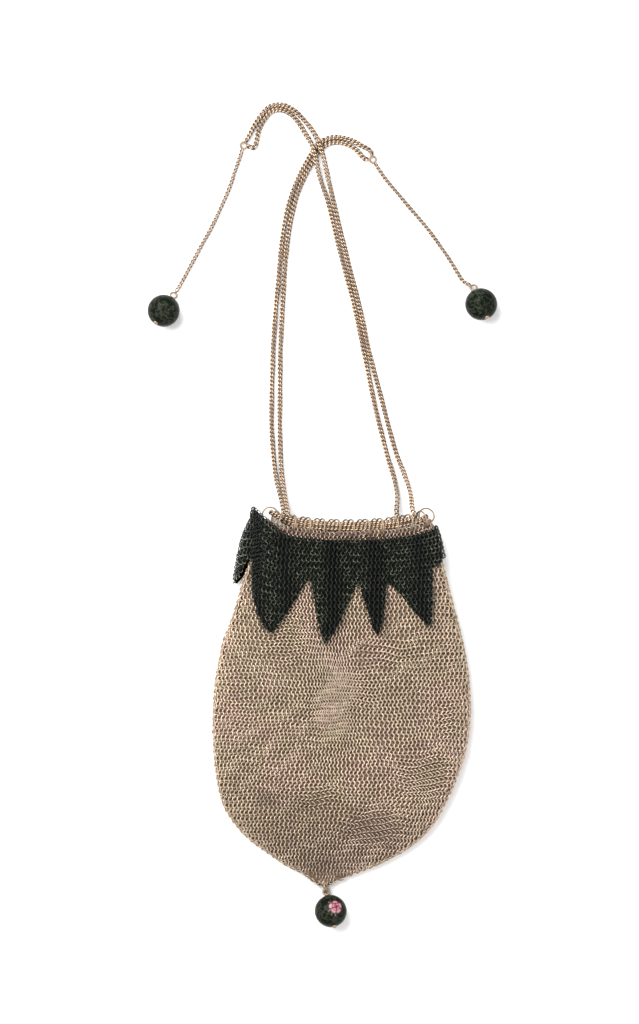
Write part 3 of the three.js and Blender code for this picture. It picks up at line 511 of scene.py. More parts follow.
def rim_ring_frame(angle):
    """Middle of a rim ring, and the two directions that span it."""
    place, along, beyond, outward = rim_frame(angle)
    turn = RIM_RING_TURN * (1 - RIM_RING_EASE * math.cos(angle) ** RIM_RING_EASE_SHARPNESS)
    hole = place - beyond * EYELET_DEPTH
    through = outward * math.cos(turn) - along * math.sin(turn)
    up = beyond * math.cos(RIM_RING_LEAN) - along * math.sin(RIM_RING_LEAN)
    up = unit(up - through * dot(up, through))
    return hole + up * RIM_RING_RADIUS, through, up


def strand_point(angle, string, further=0.0, inward=0.0):
    """A point of a drawstring at the mouth: inside the rim rings, or further out and inward of them."""
    place, _, beyond, outward = rim_frame(angle)
    above, out = STRING_PLACES[string]
    return place + beyond * (above + further) + outward * (out - inward)


def gap_angle(x, front):
    """Middle of the gap between neighbouring rim rings that lies nearest to a place across the bag."""
    middles = (ring_angles + np.append(ring_angles[1:], ring_angles[0] + 2 * np.pi)) / 2
    middles = middles[(np.sin(middles) > 0) == front]
    return middles[np.argmin(np.abs(rim_frame(middles)[0][:, 0] - x))]


def lay_point(place):
    """A point of a chain that lies on the surface."""
    return np.array([place[0], RIM_Y + place[1], STRING_HEIGHT])


def meet(centre, start, radius):
    """A point just clear of a ring, on the side that a chain comes from."""
    return centre + unit(start - centre) * (radius + GAP)


def free_strand(route, turned, start):
    """One strand along its route, to the right (1) or left (-1) of the pair's middle, that falls from its
    exit at the mouth to the surface and eases over to its route."""
    table = np.array(route, dtype=float)
    middle = table[:, :2] + (0, RIM_Y)
    ahead = middle[np.minimum(np.arange(len(middle)) + 1, len(middle) - 1)]
    behind = middle[np.maximum(np.arange(len(middle)) - 1, 0)]
    run = ahead - behind
    place = middle + unit(np.stack([run[:, 1], -run[:, 0]], axis=1)) * (turned * table[:, 2:3] / 2)
    held = (1 - np.clip((place[:, 1] - start[1]) / DRAPE_LENGTH, 0, 1)) ** 2
    x = place[:, 0] + (start[0] - place[:, 0]) * held
    lying = STRING_HEIGHT + table[:, 3]
    return np.stack([x, place[:, 1], lying + (start[2] - lying) * held], axis=1)


def drawstring_points(side):
    """A drawstring's points: in along one strand, round the mouth through the rim rings, and out again."""
    route, exits, dive, ring, lasts = DRAWSTRINGS[side]
    front = gap_angle(BAG_HALF_WIDTH * exits[0], True)
    back = gap_angle(BAG_HALF_WIDTH * exits[1], False)
    if side == "right":
        passed = ring_angles[(ring_angles > front) & (ring_angles < back)]
    else:
        on_front = ring_angles[ring_angles < front]
        on_back = ring_angles[ring_angles > back]
        passed = np.concatenate([on_front[::-1], on_back[::-1]])
    strands = []
    for angle, turned, last in ((front, 1, lasts[0]), (back, -1, lasts[1])):
        near = strand_point(angle, side, EXIT_NEAR, dive * EXIT_NEAR_DIVE)
        far = strand_point(angle, side, EXIT_FAR, dive)
        end = lay_point(last)
        stop = meet(lay_point(ring), end, END_RING_OUTER / 2)
        strands.append([near, far, *free_strand(route, turned, far), end, stop])
    return np.array([*strands[0][::-1], *(strand_point(angle, side) for angle in passed), *strands[1]])


def smooth_curve(points, per_span=24):
    """A smooth curve through points, evened by the square root of their distances."""
    padded = np.concatenate([[2 * points[0] - points[1]], points, [2 * points[-1] - points[-2]]])
    steps = np.sqrt(np.linalg.norm(np.diff(padded, axis=0), axis=1))[:, None]
    u = np.linspace(0, 1, per_span, endpoint=False)[:, None]
    spans = []
    for i in range(len(points) - 1):
        a, b, c, d = padded[i:i + 4]
        before, here, after = steps[i:i + 3]
        leave = ((b - a) / before - (c - a) / (before + here) + (c - b) / here) * here
        arrive = ((c - b) / here - (d - b) / (here + after) + (d - c) / after) * here
        bend = -3 * b + 3 * c - 2 * leave - arrive
        spans.append(b + leave * u + bend * u**2 + (2 * b - 2 * c + leave + arrive) * u**3)
    return np.concatenate([*spans, points[-1:]])


class Socket:
    """A shader socket, on which sums, products and the like add their own Math nodes."""

    def __init__(self, finish, socket):
        self.finish = finish
        self.socket = socket

    def math(self, operation, *values):
        return self.finish.node("ShaderNodeMath", {"operation": operation}, dict(enumerate(values)))

    def __add__(self, other):
        return self.math("ADD", self, other)

    def __radd__(self, other):
        return self.math("ADD", other, self)

    def __sub__(self, other):
        return self.math("SUBTRACT", self, other)

    def __rsub__(self, other):
        return self.math("SUBTRACT", other, self)

    def __mul__(self, other):
        return self.math("MULTIPLY", self, other)

    def __rmul__(self, other):
        return self.math("MULTIPLY", other, self)

    def __pow__(self, other):
        return self.math("POWER", self, other)

    def between(self, low, high):
        """0 below low, 1 above high and smooth between them."""
        values = {"Value": self, "From Min": low, "From Max": high}
        return self.finish.node("ShaderNodeMapRange", {"interpolation_type": "SMOOTHSTEP"}, values)


class Finish:
    """A material under construction."""

    def __init__(self, name):
        self.material = bpy.data.materials.new(name)
        self.material.use_nodes = True
        self.tree = self.material.node_tree
        self.tree.nodes.clear()

    def node(self, kind, settings=None, values=None, output=0):
        """Add a node: its settings first, then the values or links of its sockets. Returns one output."""
        node = self.tree.nodes.new(kind)
        for key, value in (settings or {}).items():
            setattr(node, key, value)
        for key, value in (values or {}).items():
            if isinstance(value, Socket):
                self.tree.links.new(value.socket, node.inputs[key])
            else:
                node.inputs[key].default_value = value
        return Socket(self, node.outputs[output]) if node.outputs else None

    def place(self):
        """Where a point lies in the frame."""
        return self.node("ShaderNodeTexCoord", output="Object")

    def noise(self, scale, detail=2.0, roughness=0.5):
        """Noise of a scale in features a metre."""
        values = {"Vector": self.place(), "Scale": scale, "Detail": detail, "Roughness": roughness}
        return self.node("ShaderNodeTexNoise", values=values)

    def mark(self, name):
        """A value that the mesh carries at its corners."""
        return self.node("ShaderNodeAttribute", {"attribute_name": name}, output="Fac")

    def each(self):
        """A chance value that differs from one ring or link to the next."""
        return self.node("ShaderNodeNewGeometry", output="Random Per Island")

    def mix(self, share, low, high):
        """A colour between two others."""
        values = {0: share, 6: low, 7: high}
        return self.node("ShaderNodeMix", {"data_type": "RGBA"}, values, output=2)

    def scaled(self, colour, amount):
        """A colour made lighter or darker."""
        grey = self.node("ShaderNodeCombineColor", values={0: amount, 1: amount, 2: amount})
        values = {0: 1.0, 6: colour, 7: grey}
        return self.node("ShaderNodeMix", {"data_type": "RGBA", "blend_type": "MULTIPLY"}, values, output=2)

    def bump(self, height, strength, distance):
        """A normal raised by a height."""
        values = {"Height": height, "Strength": strength, "Distance": distance}
        return self.node("ShaderNodeBump", values=values)

    def surface(self, values):
        """Finish the material with a surface shader."""
        shader = self.node("ShaderNodeBsdfPrincipled", values=values)
        self.node("ShaderNodeOutputMaterial", values={"Surface": shader})
        return self.material


def rgba(colour):
    """A colour setting with full cover."""
    return (*colour[:3], 1.0)


def mesh_wire_finish():
    """Khaki and pink plated ring mesh, each ring a little different, with painted shade on each wire's inner
    side.
    """
    mesh = bpy.context.scene.purse_mesh
    finish = Finish("worn_ring_mesh")
    patch = finish.noise(56.0, 3.0, 0.6).between(0.42, 0.60)
    broad = finish.noise(14.0, 2.0).between(0.35, 0.70)
    grain = finish.noise(2600.0, 2.0)
    # Painted shade: the inner side of each wire is mixed toward the brown hollow colour.
    hollow = finish.mark("hollow").between(0.35, 1.0)
    plated = finish.mix(patch, rgba(mesh.khaki), rgba(mesh.pink))
    pale = finish.mix(finish.mark("pale"), plated, rgba(mesh.rim))
    shade = 0.78 + 0.44 * finish.each() + 0.12 * broad
    # The stain mark darkens real stains, and also paints shade on the back layer's rings and the shaded rows
    # of steep ridges.
    tone_stain_and_shade = finish.scaled(pale, shade * (1 - finish.mark("stain")))
    colour = finish.mix(hollow * 0.75, tone_stain_and_shade, rgba(mesh.hollow))
    return finish.surface({
        "Base Color": colour,
        "Metallic": 0.75,
        "Roughness": 0.36 + 0.22 * grain + 0.2 * hollow,
        "Normal": finish.bump(grain, 0.25, 0.00004),
    })


def shade_sheet_finish():
    """A brown sheet of painted shade for the mesh's depth behind its outer rings."""
    mesh = bpy.context.scene.purse_mesh
    finish = Finish("mesh_depth")
    grain = finish.noise(900.0, 3.0, 0.7)
    patch = finish.noise(60.0, 2.0)
    colour = finish.mix(grain.between(0.35, 0.7), rgba(mesh.depth), rgba(mesh.hollow))
    return finish.surface({
        "Base Color": finish.scaled(colour, 0.7 + 0.6 * patch),
        "Metallic": 0.2,
        "Roughness": 0.75,
        "Normal": finish.bump(grain, 0.6, 0.0003),
    })


def dark_wire_finish():
    """Near-black green enamelled ring mesh with painted glints on the rings' tops and painted shade in
    pleats.
    """
    collar = bpy.context.scene.purse_collar
    finish = Finish("dark_enamelled_mesh")
    grain = finish.noise(2200.0, 2.0)
    patch = finish.noise(90.0, 3.0).between(0.45, 0.75)
    # Painted shade: in the collar the stain mark is the pleats' share, which darkens the enamel toward the
    # depth colour and dims the glints.
    lit = 1 - finish.mark("stain")
    proud = (1 - finish.mark("hollow")) ** 2
    # Painted glints: pale specks at the top of each ring's wire, on its outer side, stronger on some rings
    # than others.
    painted_glint = (finish.each().between(0.25, 0.95) * 0.75 + 0.25 * patch) * finish.mark("crest") * proud * lit
    enamel = finish.mix(lit, rgba(collar.depth), rgba(collar.enamel))
    colour = finish.mix(painted_glint, enamel, rgba(collar.painted_glint))
    return finish.surface({
        "Base Color": colour,
        "Roughness": 0.17 + 0.12 * grain + 0.25 * finish.mark("stain"),
        "Specular IOR Level": 0.35,
        "Normal": finish.bump(grain, 0.2, 0.00003),
    })


def dark_shade_sheet_finish():
    """A black sheet of painted shade for the collar's depth behind its rings."""
    collar = bpy.context.scene.purse_collar
    finish = Finish("collar_depth")
    grain = finish.noise(1000.0, 3.0)
    return finish.surface({
        "Base Color": finish.scaled(rgba(collar.depth), 0.6 + 0.8 * grain),
        "Roughness": 0.8,
        "Specular IOR Level": 0.1,
        "Normal": finish.bump(grain, 0.5, 0.0002),
    })


def wire_finish(name, bright, rough=0.34):
    """Plated brass wire with painted shade in brown on its inner side and on the lower parts of chain links.
    """
    chain = bpy.context.scene.purse_chain
    finish = Finish(name)
    grain = finish.noise(1800.0, 3.0)
    patch = finish.noise(120.0, 3.0).between(0.3, 0.75)
    # Painted shade: the hollow mark mixes the wire toward the brown hollow colour.
    hollow = finish.mark("hollow").between(0.3, 0.95)
    shade = 0.82 + 0.28 * finish.each() + 0.12 * patch
    colour = finish.mix(hollow * 0.85 + patch * 0.12, finish.scaled(rgba(bright), shade), rgba(chain.hollow))
    return finish.surface({
        "Base Color": colour,
        "Metallic": 0.9,
        "Roughness": rough + 0.18 * grain + 0.25 * hollow,
        "Normal": finish.bump(grain, 0.25, 0.00004),
    })


def glass_finish():
    """Near-black green pressed glass with faint swirls and a breath of dust."""
    ball = bpy.context.scene.purse_ball
    finish = Finish("dark_green_glass")
    swirl = finish.noise(260.0, 4.0, 0.6).between(0.35, 0.75)
    dust = finish.noise(3000.0, 4.0, 0.7).between(0.55, 0.85)
    vein = finish.noise(330.0, 3.0, 0.6)
    vein = vein.between(0.44, 0.50) * (1 - vein.between(0.50, 0.56))
    colour = finish.mix(0.2 * swirl + 0.8 * vein, rgba(ball.glass), rgba(ball.swirl))
    return finish.surface({
        "Base Color": colour,
        "Roughness": 0.12 + 0.16 * dust,
        "IOR": 1.22,
        "Specular IOR Level": 0.12,
        "Normal": finish.bump(finish.noise(420.0, 2.0), 0.06, 0.0002),
    })


def paint_finish(name, light, dark):
    """Enamel paint laid on by brush, lighter where it is thick."""
    finish = Finish(name)
    stroke = finish.noise(1500.0, 3.0, 0.65)
    edge = finish.mark("hollow")
    colour = finish.mix(edge * 0.9 + stroke * 0.3, rgba(light), rgba(dark))
    return finish.surface({
        "Base Color": colour,
        "Roughness": 0.3 + 0.2 * stroke,
        "Coat Weight": 0.3,
        "Normal": finish.bump(stroke, 0.3, 0.00006),
    })


def add_mesh(name, points, faces, material, replaced=(), marks=None):
    """Add one smooth piece from its points and four-cornered faces, riding on the purse's one body."""
    mesh = bpy.data.meshes.new(name)
    mesh.vertices.add(len(points))
    mesh.vertices.foreach_set("co", np.ascontiguousarray(points, dtype=np.float32).ravel())
    faces = np.asarray(faces, dtype=np.int32)
    corners = faces.shape[1]
    mesh.loops.add(faces.size)
    mesh.loops.foreach_set("vertex_index", faces.ravel())
    mesh.polygons.add(len(faces))
    mesh.polygons.foreach_set("loop_start", np.arange(0, faces.size, corners, dtype=np.int32))
    mesh.polygons.foreach_set("use_smooth", np.ones(len(faces), dtype=bool))
    mesh.update(calc_edges=True)
    mesh.validate()
    for key, values in (marks or {}).items():
        mark = mesh.attributes.new(key, "FLOAT", "POINT")
        mark.data.foreach_set("value", np.asarray(values, dtype=np.float32).ravel())
    mesh.materials.append(material)
    piece = bpy.data.objects.new(name, mesh)
    bpy.context.collection.objects.link(piece)
    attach(piece, "root")
    if replaced:
        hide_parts(*replaced)
    return piece


def grid_faces(rows, columns, first=0, closed_rows=False, closed_columns=False):
    """Faces of a grid of points, whose rows or columns may close on themselves."""
    i = np.arange(rows if closed_rows else rows - 1)
    j = np.arange(columns if closed_columns else columns - 1)
    i, j = np.meshgrid(i, j, indexing="ij")
    a = i * columns + j
    b = i * columns + (j + 1) % columns
    c = ((i + 1) % rows) * columns + (j + 1) % columns
    d = ((i + 1) % rows) * columns + j
    return first + np.stack([a, b, c, d], axis=-1).reshape(-1, 4)


def wire_rings(centres, across, up, radius, wire, steps, sides):
    """Points, faces and hollow marks of rings of round wire, each lying along its two unit directions. The
    marks are highest on the inside."""
    turn = np.linspace(0, 2 * np.pi, steps, endpoint=False)
    side = np.linspace(0, 2 * np.pi, sides, endpoint=False)
    radial = np.cos(turn)[:, None] * across[:, None, :] + np.sin(turn)[:, None] * up[:, None, :]
    axis = np.cross(across, up)[:, None, None, :]
    reach = np.reshape(radius, (-1, 1, 1, 1)) + (wire / 2 * np.cos(side))[:, None]
    rise = (wire / 2 * np.sin(side))[:, None]
    points = centres[:, None, None, :] + radial[:, :, None, :] * reach + axis * rise
    one = grid_faces(steps, sides, closed_rows=True, closed_columns=True)
    faces = one[None] + np.arange(len(centres))[:, None, None] * steps * sides
    # The hollow mark, highest on the inner side of the wire, carries painted shade in the brass finishes.
    hollow = np.tile((1 - np.cos(side)) / 2, len(centres) * steps)
    return points.reshape(-1, 3), faces.reshape(-1, 4), hollow


def surface_frames(surface, u, v, du, dv):
    """Points of a surface and its directions along u, along v and outward, with both directions unit."""
    here = surface(u, v)
    along = unit(surface(u + du, v) - surface(u - du, v))
    toward = surface(u, v + dv) - surface(u, v - dv)
    outward = unit(np.cross(toward, along))
    return here, along, np.cross(along, outward), outward


class RingField:
    """A sheet of ring mesh, gathered row by row: rings of one row lean one way, of the next row the other."""

    def __init__(self, seed, radius, wire, lean):
        self.chance = np.random.default_rng(seed)
        self.radius = radius
        self.wire = wire
        self.lean = lean
        self.parts = []

    def add(self, here, along, up, outward, row, closeness, pale, stain, tip=0.0, turn=0.0):
        """Add rings of one row, which stand steeper where the columns are drawn together and may tip up."""
        count = len(here)
        turn = np.broadcast_to(turn, count)[:, None]
        along, up = along * np.cos(turn) + up * np.sin(turn), up * np.cos(turn) - along * np.sin(turn)
        upright = np.arccos(np.clip(math.cos(self.lean) * closeness, 0.05, 1))
        upright = upright * (1 - RIDGE_STRAIGHTENING * tip)
        lean = np.where(row % 2 == 0, 1, -1) * upright + self.chance.normal(0, TURN_CHANCE, count)
        nod = (RIDGE_TIP * tip + self.chance.normal(0, TURN_CHANCE, count))[:, None]
        raised = up * np.cos(nod) + outward * np.sin(nod)
        across = along * np.cos(lean)[:, None] + np.cross(along, raised) * np.sin(lean)[:, None]
        steep = np.clip((np.broadcast_to(tip, count) - STEEP_RIDGE) / (1 - STEEP_RIDGE), 0, 1)
        # Painted shade: on the steepest ridges every other row is drawn darker.
        stain = stain + RIDGE_SHADE * steep * (row % 2)
        here = here + outward * (RIDGE_RISE * steep * (1 - row % 2))[:, None]
        size = self.radius * (1 + self.chance.normal(0, SIZE_CHANCE, count))
        centres = here + self.chance.normal(0, PLACE_CHANCE, (count, 3))
        reach = np.abs(across[:, 2]) * size + self.wire / 2
        centres[:, 2] = np.maximum(centres[:, 2], reach + SURFACE_CLEARANCE)
        marks = (np.broadcast_to(pale, count), np.broadcast_to(stain, count))
        self.parts.append((centres, across, raised, size, *marks))

    def gathered(self):
        """All rings so far, as arrays."""
        return [np.concatenate(column) for column in zip(*self.parts)]


def tip_closeness(share):
    """How close the columns stand towards the tip: 1 where they lie at ease."""
    return 0.8 + 0.2 * smoothstep(share, 0, 0.26)


def gather_share(x, share):
    """How close the columns stand at places on the bag's front: 1 where they lie at ease."""
    close = np.ones(np.broadcast(x, share).shape)
    for middle, half, start, end, amount in GATHERS:
        band = np.exp(-np.abs((x - middle) / half) ** 3)
        window = np.sin(np.pi * np.clip((share - start) / (end - start), 0, 1)) ** 2
        close = close - amount * band * window
    return close * tip_closeness(share)


def bag_row(share, half, pitch, odd, margin):
    """Angles of one row's rings over the front (1) or the back (-1) of the bag, and how close they stand."""
    samples = np.linspace(0, np.pi, 361) * half
    places = bag_point(samples, share)
    steps = np.linalg.norm(np.diff(places, axis=0), axis=1)
    run = np.concatenate([[0], np.cumsum(steps)])
    middle_x = -0.0066 * (1 - smoothstep(share, 0.0, 0.3))
    x = places[:, 0]
    origin = np.interp(-middle_x, -x, run)
    closeness = gather_share(x, share) if half > 0 else np.full(len(x), tip_closeness(share))
    number = np.concatenate([[0], np.cumsum(steps / (pitch * (closeness[1:] + closeness[:-1]) / 2))])
    number -= np.interp(origin, run, number)
    wanted = np.arange(math.ceil(number[0]) - 1, math.floor(number[-1]) + 2) + (0.5 if odd else 0.0)
    at = np.interp(wanted, number, run, left=-1, right=-1)
    kept = (at > margin) & (at < run[-1] - margin)
    angles = np.interp(at[kept], run, samples)
    return angles, np.interp(at[kept], run, closeness)


def hidden_by_collar(angle, share):
    """Whether a place on the bag lies well under the collar."""
    below = (1 - share) * BAG_LENGTH
    drop = collar_edge(np.degrees(angle))[0]
    return (below > COLLAR_BELOW_RIM + COLLAR_COVER_TOP) & (below < drop - COLLAR_COVER_EDGE)


def ring_surface(angle, share):
    """Points of the surface in which the bag's rings lie, which draws in at the tip."""
    inset = bpy.context.scene.purse_mesh.ring_diameter * RING_INSET
    return bag_point(angle, share, -inset - TIP_INSET * (1 - smoothstep(share, 0, 0.07)))


def bag_rings(half):
    """The rings over the front (1) or the back (-1) of the bag, between its side edges."""
    mesh = bpy.context.scene.purse_mesh
    field = RingField(11 if half > 0 else 12, (mesh.ring_diameter - mesh.wire) / 2, mesh.wire, mesh.lean)

    rows = int(BAG_LENGTH / mesh.row_pitch)
    for row in range(1, rows + 1):
        share = 1 - (rows - row) * mesh.row_pitch / BAG_LENGTH - LAST_ROW_DEPTH / BAG_LENGTH
        angles, closeness = bag_row(share, half, mesh.column_pitch, row % 2, EDGE_COLUMNS * mesh.column_pitch)
        kept = ~hidden_by_collar(angles, share)
        if not kept.any():
            continue
        shares = np.full(kept.sum(), share)
        frames = surface_frames(ring_surface, angles[kept], shares, ANGLE_STEP, SHARE_STEP)
        pale = float(smoothstep(share, 1 - RIM_BAND_END / BAG_LENGTH, 1 - RIM_BAND / BAG_LENGTH))
        place = add_strays(frames)
        if half > 0:
            field.add(*frames, row, closeness[kept], pale, stains(*place), *ridges(*place))
        else:
            # Painted shade: the back layer's rings, which lie under the front, are drawn darker.
            field.add(*frames, row, closeness[kept], 0.0, BACK_PAINTED_SHADE)
    return field


def add_strays(frames):
    """Shift ring places a little along the mesh, and return where across and along the bag they lie."""
    here, along, up, _ = frames
    x, y = here[:, 0].copy(), here[:, 1].copy()
    across, onward = wander(x, y)
    here += along * across[:, None] + up * onward[:, None]
    return x, y


def edge_rings(field, seam, first, last):
    """Add the rings that follow one side edge of the bag, from column first to column last beside it."""
    mesh = bpy.context.scene.purse_mesh
    samples = np.linspace(0.007, 0.994, 600)
    line = ring_surface(seam, samples)
    run = np.concatenate([[0], np.cumsum(np.linalg.norm(np.diff(line, axis=0), axis=1))])
    rows = np.arange(int(run[-1] / mesh.row_pitch))
    shares = np.interp(run[-1] - (len(rows) - 1 - rows) * mesh.row_pitch, run, samples)
    across = ring_surface(seam + 0.01, shares) - ring_surface(seam - 0.01, shares)
    spread = np.linalg.norm(across, axis=1) / 0.02
    for column in range(first, last + 1):
        odd = (rows + column) % 2 == 1
        at = shares[odd]
        angle = seam + column * mesh.column_pitch / 2 / spread[odd]
        hidden = hidden_by_collar(angle, at)
        frames = surface_frames(ring_surface, angle[~hidden], at[~hidden], ANGLE_STEP, SHARE_STEP)
        below = (1 - at[~hidden]) * BAG_LENGTH
        pale = 1 - smoothstep(below, RIM_BAND, RIM_BAND_END)
        stain = stains(frames[0][:, 0], frames[0][:, 1])
        field.add(*frames, rows[odd][~hidden], np.full((~hidden).sum(), EDGE_SLACK), pale, stain)


def add_ring_sheet(name, rings, chosen, steps, sides, material, wire):
    """Add one piece of ring mesh from the chosen rings."""
    centres, across, up, size, pale, stain = (column[chosen] for column in rings)
    points, faces, hollow = wire_rings(centres, across, up, size, wire, steps, sides)
    corners = steps * sides
    # The crest mark places the collar's painted glints at the top of each ring.
    crest = np.clip(np.sin(np.linspace(0, 2 * np.pi, steps, endpoint=False)), 0, 1) ** 1.5
    marks = {
        "hollow": hollow,
        "crest": np.tile(np.repeat(crest, sides), len(centres)),
        "pale": np.repeat(pale, corners),
        "stain": np.repeat(stain, corners),
    }
    return add_mesh(name, points, faces, material, marks=marks)


def add_halves(side, field, steps, sides, material):
    """Add the rings of one side of the bag as two pieces, below and above the middle row."""
    rings = field.gathered()
    y = rings[0][:, 1]
    cut = np.median(y)
    wire = bpy.context.scene.purse_mesh.wire
    for half, chosen in (("lower", y < cut), ("upper", y >= cut)):
        name = f"ring_mesh_{side}_{half}"
        add_ring_sheet(name, rings, chosen, steps, sides, material, wire)


def add_tip_rings(material):
    """Add the small bunch of mesh rings that hangs from the bag's tip to the ball's eye."""
    mesh = bpy.context.scene.purse_mesh
    chance = np.random.default_rng(13)
    hole, eye = tip_hole(), bottom_ball_frame()[3]
    run = np.linspace(-0.15, 0.95, TIP_RING_COUNT)[:, None]
    spread = 0.00055 - 0.00040 * run
    centres = hole + (eye - hole) * run + chance.normal(0, 1, (TIP_RING_COUNT, 3)) * spread
    up = unit(unit(eye - hole) + chance.normal(0, 0.22, (TIP_RING_COUNT, 3)))
    across = unit(np.cross(up, chance.normal(0, 1, (TIP_RING_COUNT, 3))))
    radius = (mesh.ring_diameter - mesh.wire) / 2 * 0.85
    centres[:, 2] = np.maximum(centres[:, 2], np.abs(across[:, 2]) * radius + mesh.wire)
    points, faces, hollow = wire_rings(centres, across, up, radius, mesh.wire, FRONT_STEPS, FRONT_SIDES)
    # The bunch's rings are drawn darker by a fixed share.
    marks = {"hollow": hollow, "stain": np.full(len(points), 0.3)}
    add_mesh("ring_mesh_tip", points, faces, material, marks=marks)


def shell(surface, u, v, outside, inside):
    """Points and faces of a thin shell over a surface that closes along u: its outer face, its inner face and
    the two rims between them."""
    uu, vv = np.meshgrid(u, v)
    outer = surface(uu, vv, outside)
    inner = surface(uu, vv, inside)[::-1]
    points = np.concatenate([outer, inner]).reshape(-1, 3)
    return points, grid_faces(2 * len(v), len(u), closed_rows=True, closed_columns=True)


def collar_row_rings(field, row, pitch, row_pitch, first_below):
    """Add one row of the collar's rings, spaced evenly along the row from the middle of the front."""
    samples = np.linspace(-90, 270, 1441)
    depth = first_below + row * row_pitch

    def surface(degrees, down):
        return collar_point(degrees, collar_top(degrees) + down, COLLAR_WALL * 0.45)

    places = surface(samples, depth)
    run = np.concatenate([[0], np.cumsum(np.linalg.norm(np.diff(places, axis=0), axis=1))])
    run -= np.interp(90, samples, run)
    odd = 0.5 if row % 2 else 0.0
    wanted = (np.arange(math.ceil(run[0] / pitch), math.floor(run[-1] / pitch)) + odd) * pitch
    degrees = np.interp(wanted, run, samples)
    drop = collar_edge(degrees)[0]
    kept = collar_top(degrees) + depth < drop - 0.0006
    if not kept.any():
        return
    degrees = degrees[kept]
    frames = surface_frames(surface, degrees, np.full(len(degrees), depth), 0.15, 0.0003)
    here, _, _, outward = frames
    shaded = np.zeros(len(degrees))
    for top_x, drift, half, deep in PLEATS:
        middle = top_x + drift * depth / POINT_LENGTH
        fold = np.exp(-(((here[:, 0] - middle) / half) ** 2)) * (np.sin(np.radians(degrees)) > 0)
        here -= outward * (fold * deep)[:, None]
        shaded += fold
    # Painted shade: each pleat's rings are drawn darker by its share.
    field.add(*frames, row, 1 - 0.15 * shaded, 0.0, np.minimum(shaded, 1))


def link_points(pitch, width, wire, twist):
    """Points of one curb link about its middle, along X, and their painted shade marks, which grow downward.
    """
    half_length = (pitch + wire) / 2
    half_width = (width - wire) / 2
    turn = np.linspace(0, 2 * np.pi, LINK_STEPS, endpoint=False)
    roll = twist / 2 * np.cos(turn)
    line = np.stack([
        half_length * np.cos(turn),
        half_width * np.sin(turn) * np.cos(roll),
        half_width * np.sin(turn) * np.sin(roll),
    ], axis=1)
    tangent = unit(np.roll(line, -1, axis=0) - np.roll(line, 1, axis=0))
    outward = unit(line - tangent * dot(line, tangent))
    binormal = np.cross(tangent, outward)
    side = np.linspace(0, 2 * np.pi, LINK_SIDES, endpoint=False)
    reach = wire / 2 * np.cos(side)[None, :, None] * outward[:, None, :]
    rise = wire / 2 * np.sin(side)[None, :, None] * binormal[:, None, :]
    points = (line[:, None, :] + reach + rise).reshape(-1, 3)
    inner = np.tile((1 - np.cos(side)) / 2, LINK_STEPS)
    # Painted shade: the lower a point of the link lies, the darker it is drawn; the wire's inner side adds a
    # little.
    sunk = 1.3 - 1.5 * points[:, 2] / points[:, 2].max()
    return points, np.clip(0.35 * inner + sunk, 0, 1)


def add_chain(name, points, replaced, seed, fineness=1.0):
    """Add a curb chain of interlocking links along a route, or a finer one."""
    chain = bpy.context.scene.purse_chain
    chance = np.random.default_rng(seed)
    curve = smooth_curve(points)
    run = np.concatenate([[0], np.cumsum(np.linalg.norm(np.diff(curve, axis=0), axis=1))])
    count = round(run[-1] / chain.pitch)
    pitch = run[-1] / count
    at = (np.arange(count) + 0.5) * pitch

    def on_curve(distance):
        return np.stack([np.interp(distance, run, curve[:, k]) for k in range(3)], axis=1)

    centres = on_curve(at)
    tangent = unit(on_curve(np.minimum(at + pitch / 2, run[-1])) - on_curve(np.maximum(at - pitch / 2, 0)))
    side = unit(np.cross(tangent, (0, 0, 1)) + (0, 1e-9, 0))
    top = np.cross(side, tangent)
    start = chance.uniform(0, 2 * np.pi)
    roll = chain.roll * np.sin(2 * np.pi * at / chain.turn_length + start) + chance.normal(0, 0.04, count)
    wide = side * np.cos(roll)[:, None] + top * np.sin(roll)[:, None]
    deep = top * np.cos(roll)[:, None] - side * np.sin(roll)[:, None]
    one, hollow = link_points(pitch, chain.width * fineness, chain.wire * fineness, chain.twist)
    basis = np.stack([tangent, wide, deep], axis=1)
    links = centres[:, None, :] + np.einsum("pk,nkc->npc", one, basis)
    sunk = np.maximum(0.00003 - links[:, :, 2].min(axis=1), 0)
    links[:, :, 2] += sunk[:, None]
    faces = grid_faces(LINK_STEPS, LINK_SIDES, closed_rows=True, closed_columns=True)
    faces = faces[None] + np.arange(count)[:, None, None] * len(one)
    marks = {"hollow": np.tile(hollow, count)}
    material = bpy.data.materials.get("polished_chain") or wire_finish("polished_chain", chain.bright)
    return add_mesh(name, links.reshape(-1, 3), faces.reshape(-1, 4), material, replaced, marks)


def ring_wire_material():
    """The one material that all plain rings and pins share."""
    bright = bpy.context.scene.purse_chain.ring
    return bpy.data.materials.get("worn_ring_wire") or wire_finish("worn_ring_wire", bright, 0.45)


def add_ring(name, centre, across, up, radius, wire, replaced):
    """Add one plain ring of round wire."""
    material = ring_wire_material()
    arrays = (np.array([centre]), np.array([across]), np.array([up]))
    points, faces, hollow = wire_rings(*arrays, radius, wire, RING_STEPS, RING_SIDES)
    return add_mesh(name, points, faces, material, replaced, {"hollow": hollow * 0.6})


def ball_frame(x, y, turn, tilt):
    """Middle of a ball on the surface, the directions across and along its pin, and the pin's eye."""
    turn, tilt = math.radians(turn), math.radians(tilt)
    up = np.array([math.cos(turn) * math.cos(tilt), math.sin(turn) * math.cos(tilt), -math.sin(tilt)])
    across = np.array([math.sin(turn), -math.cos(turn), 0.0])
    centre = np.array([x, y, BALL_RADIUS])
    return centre, across, up, centre + up * PIN_EYE_OFFSET


def tip_hole():
    """The hole near the bag's tip."""
    share = TIP_HOLE_MARGIN / BAG_LENGTH
    return (bag_point(np.pi / 2, share) + bag_point(-np.pi / 2, share)) / 2


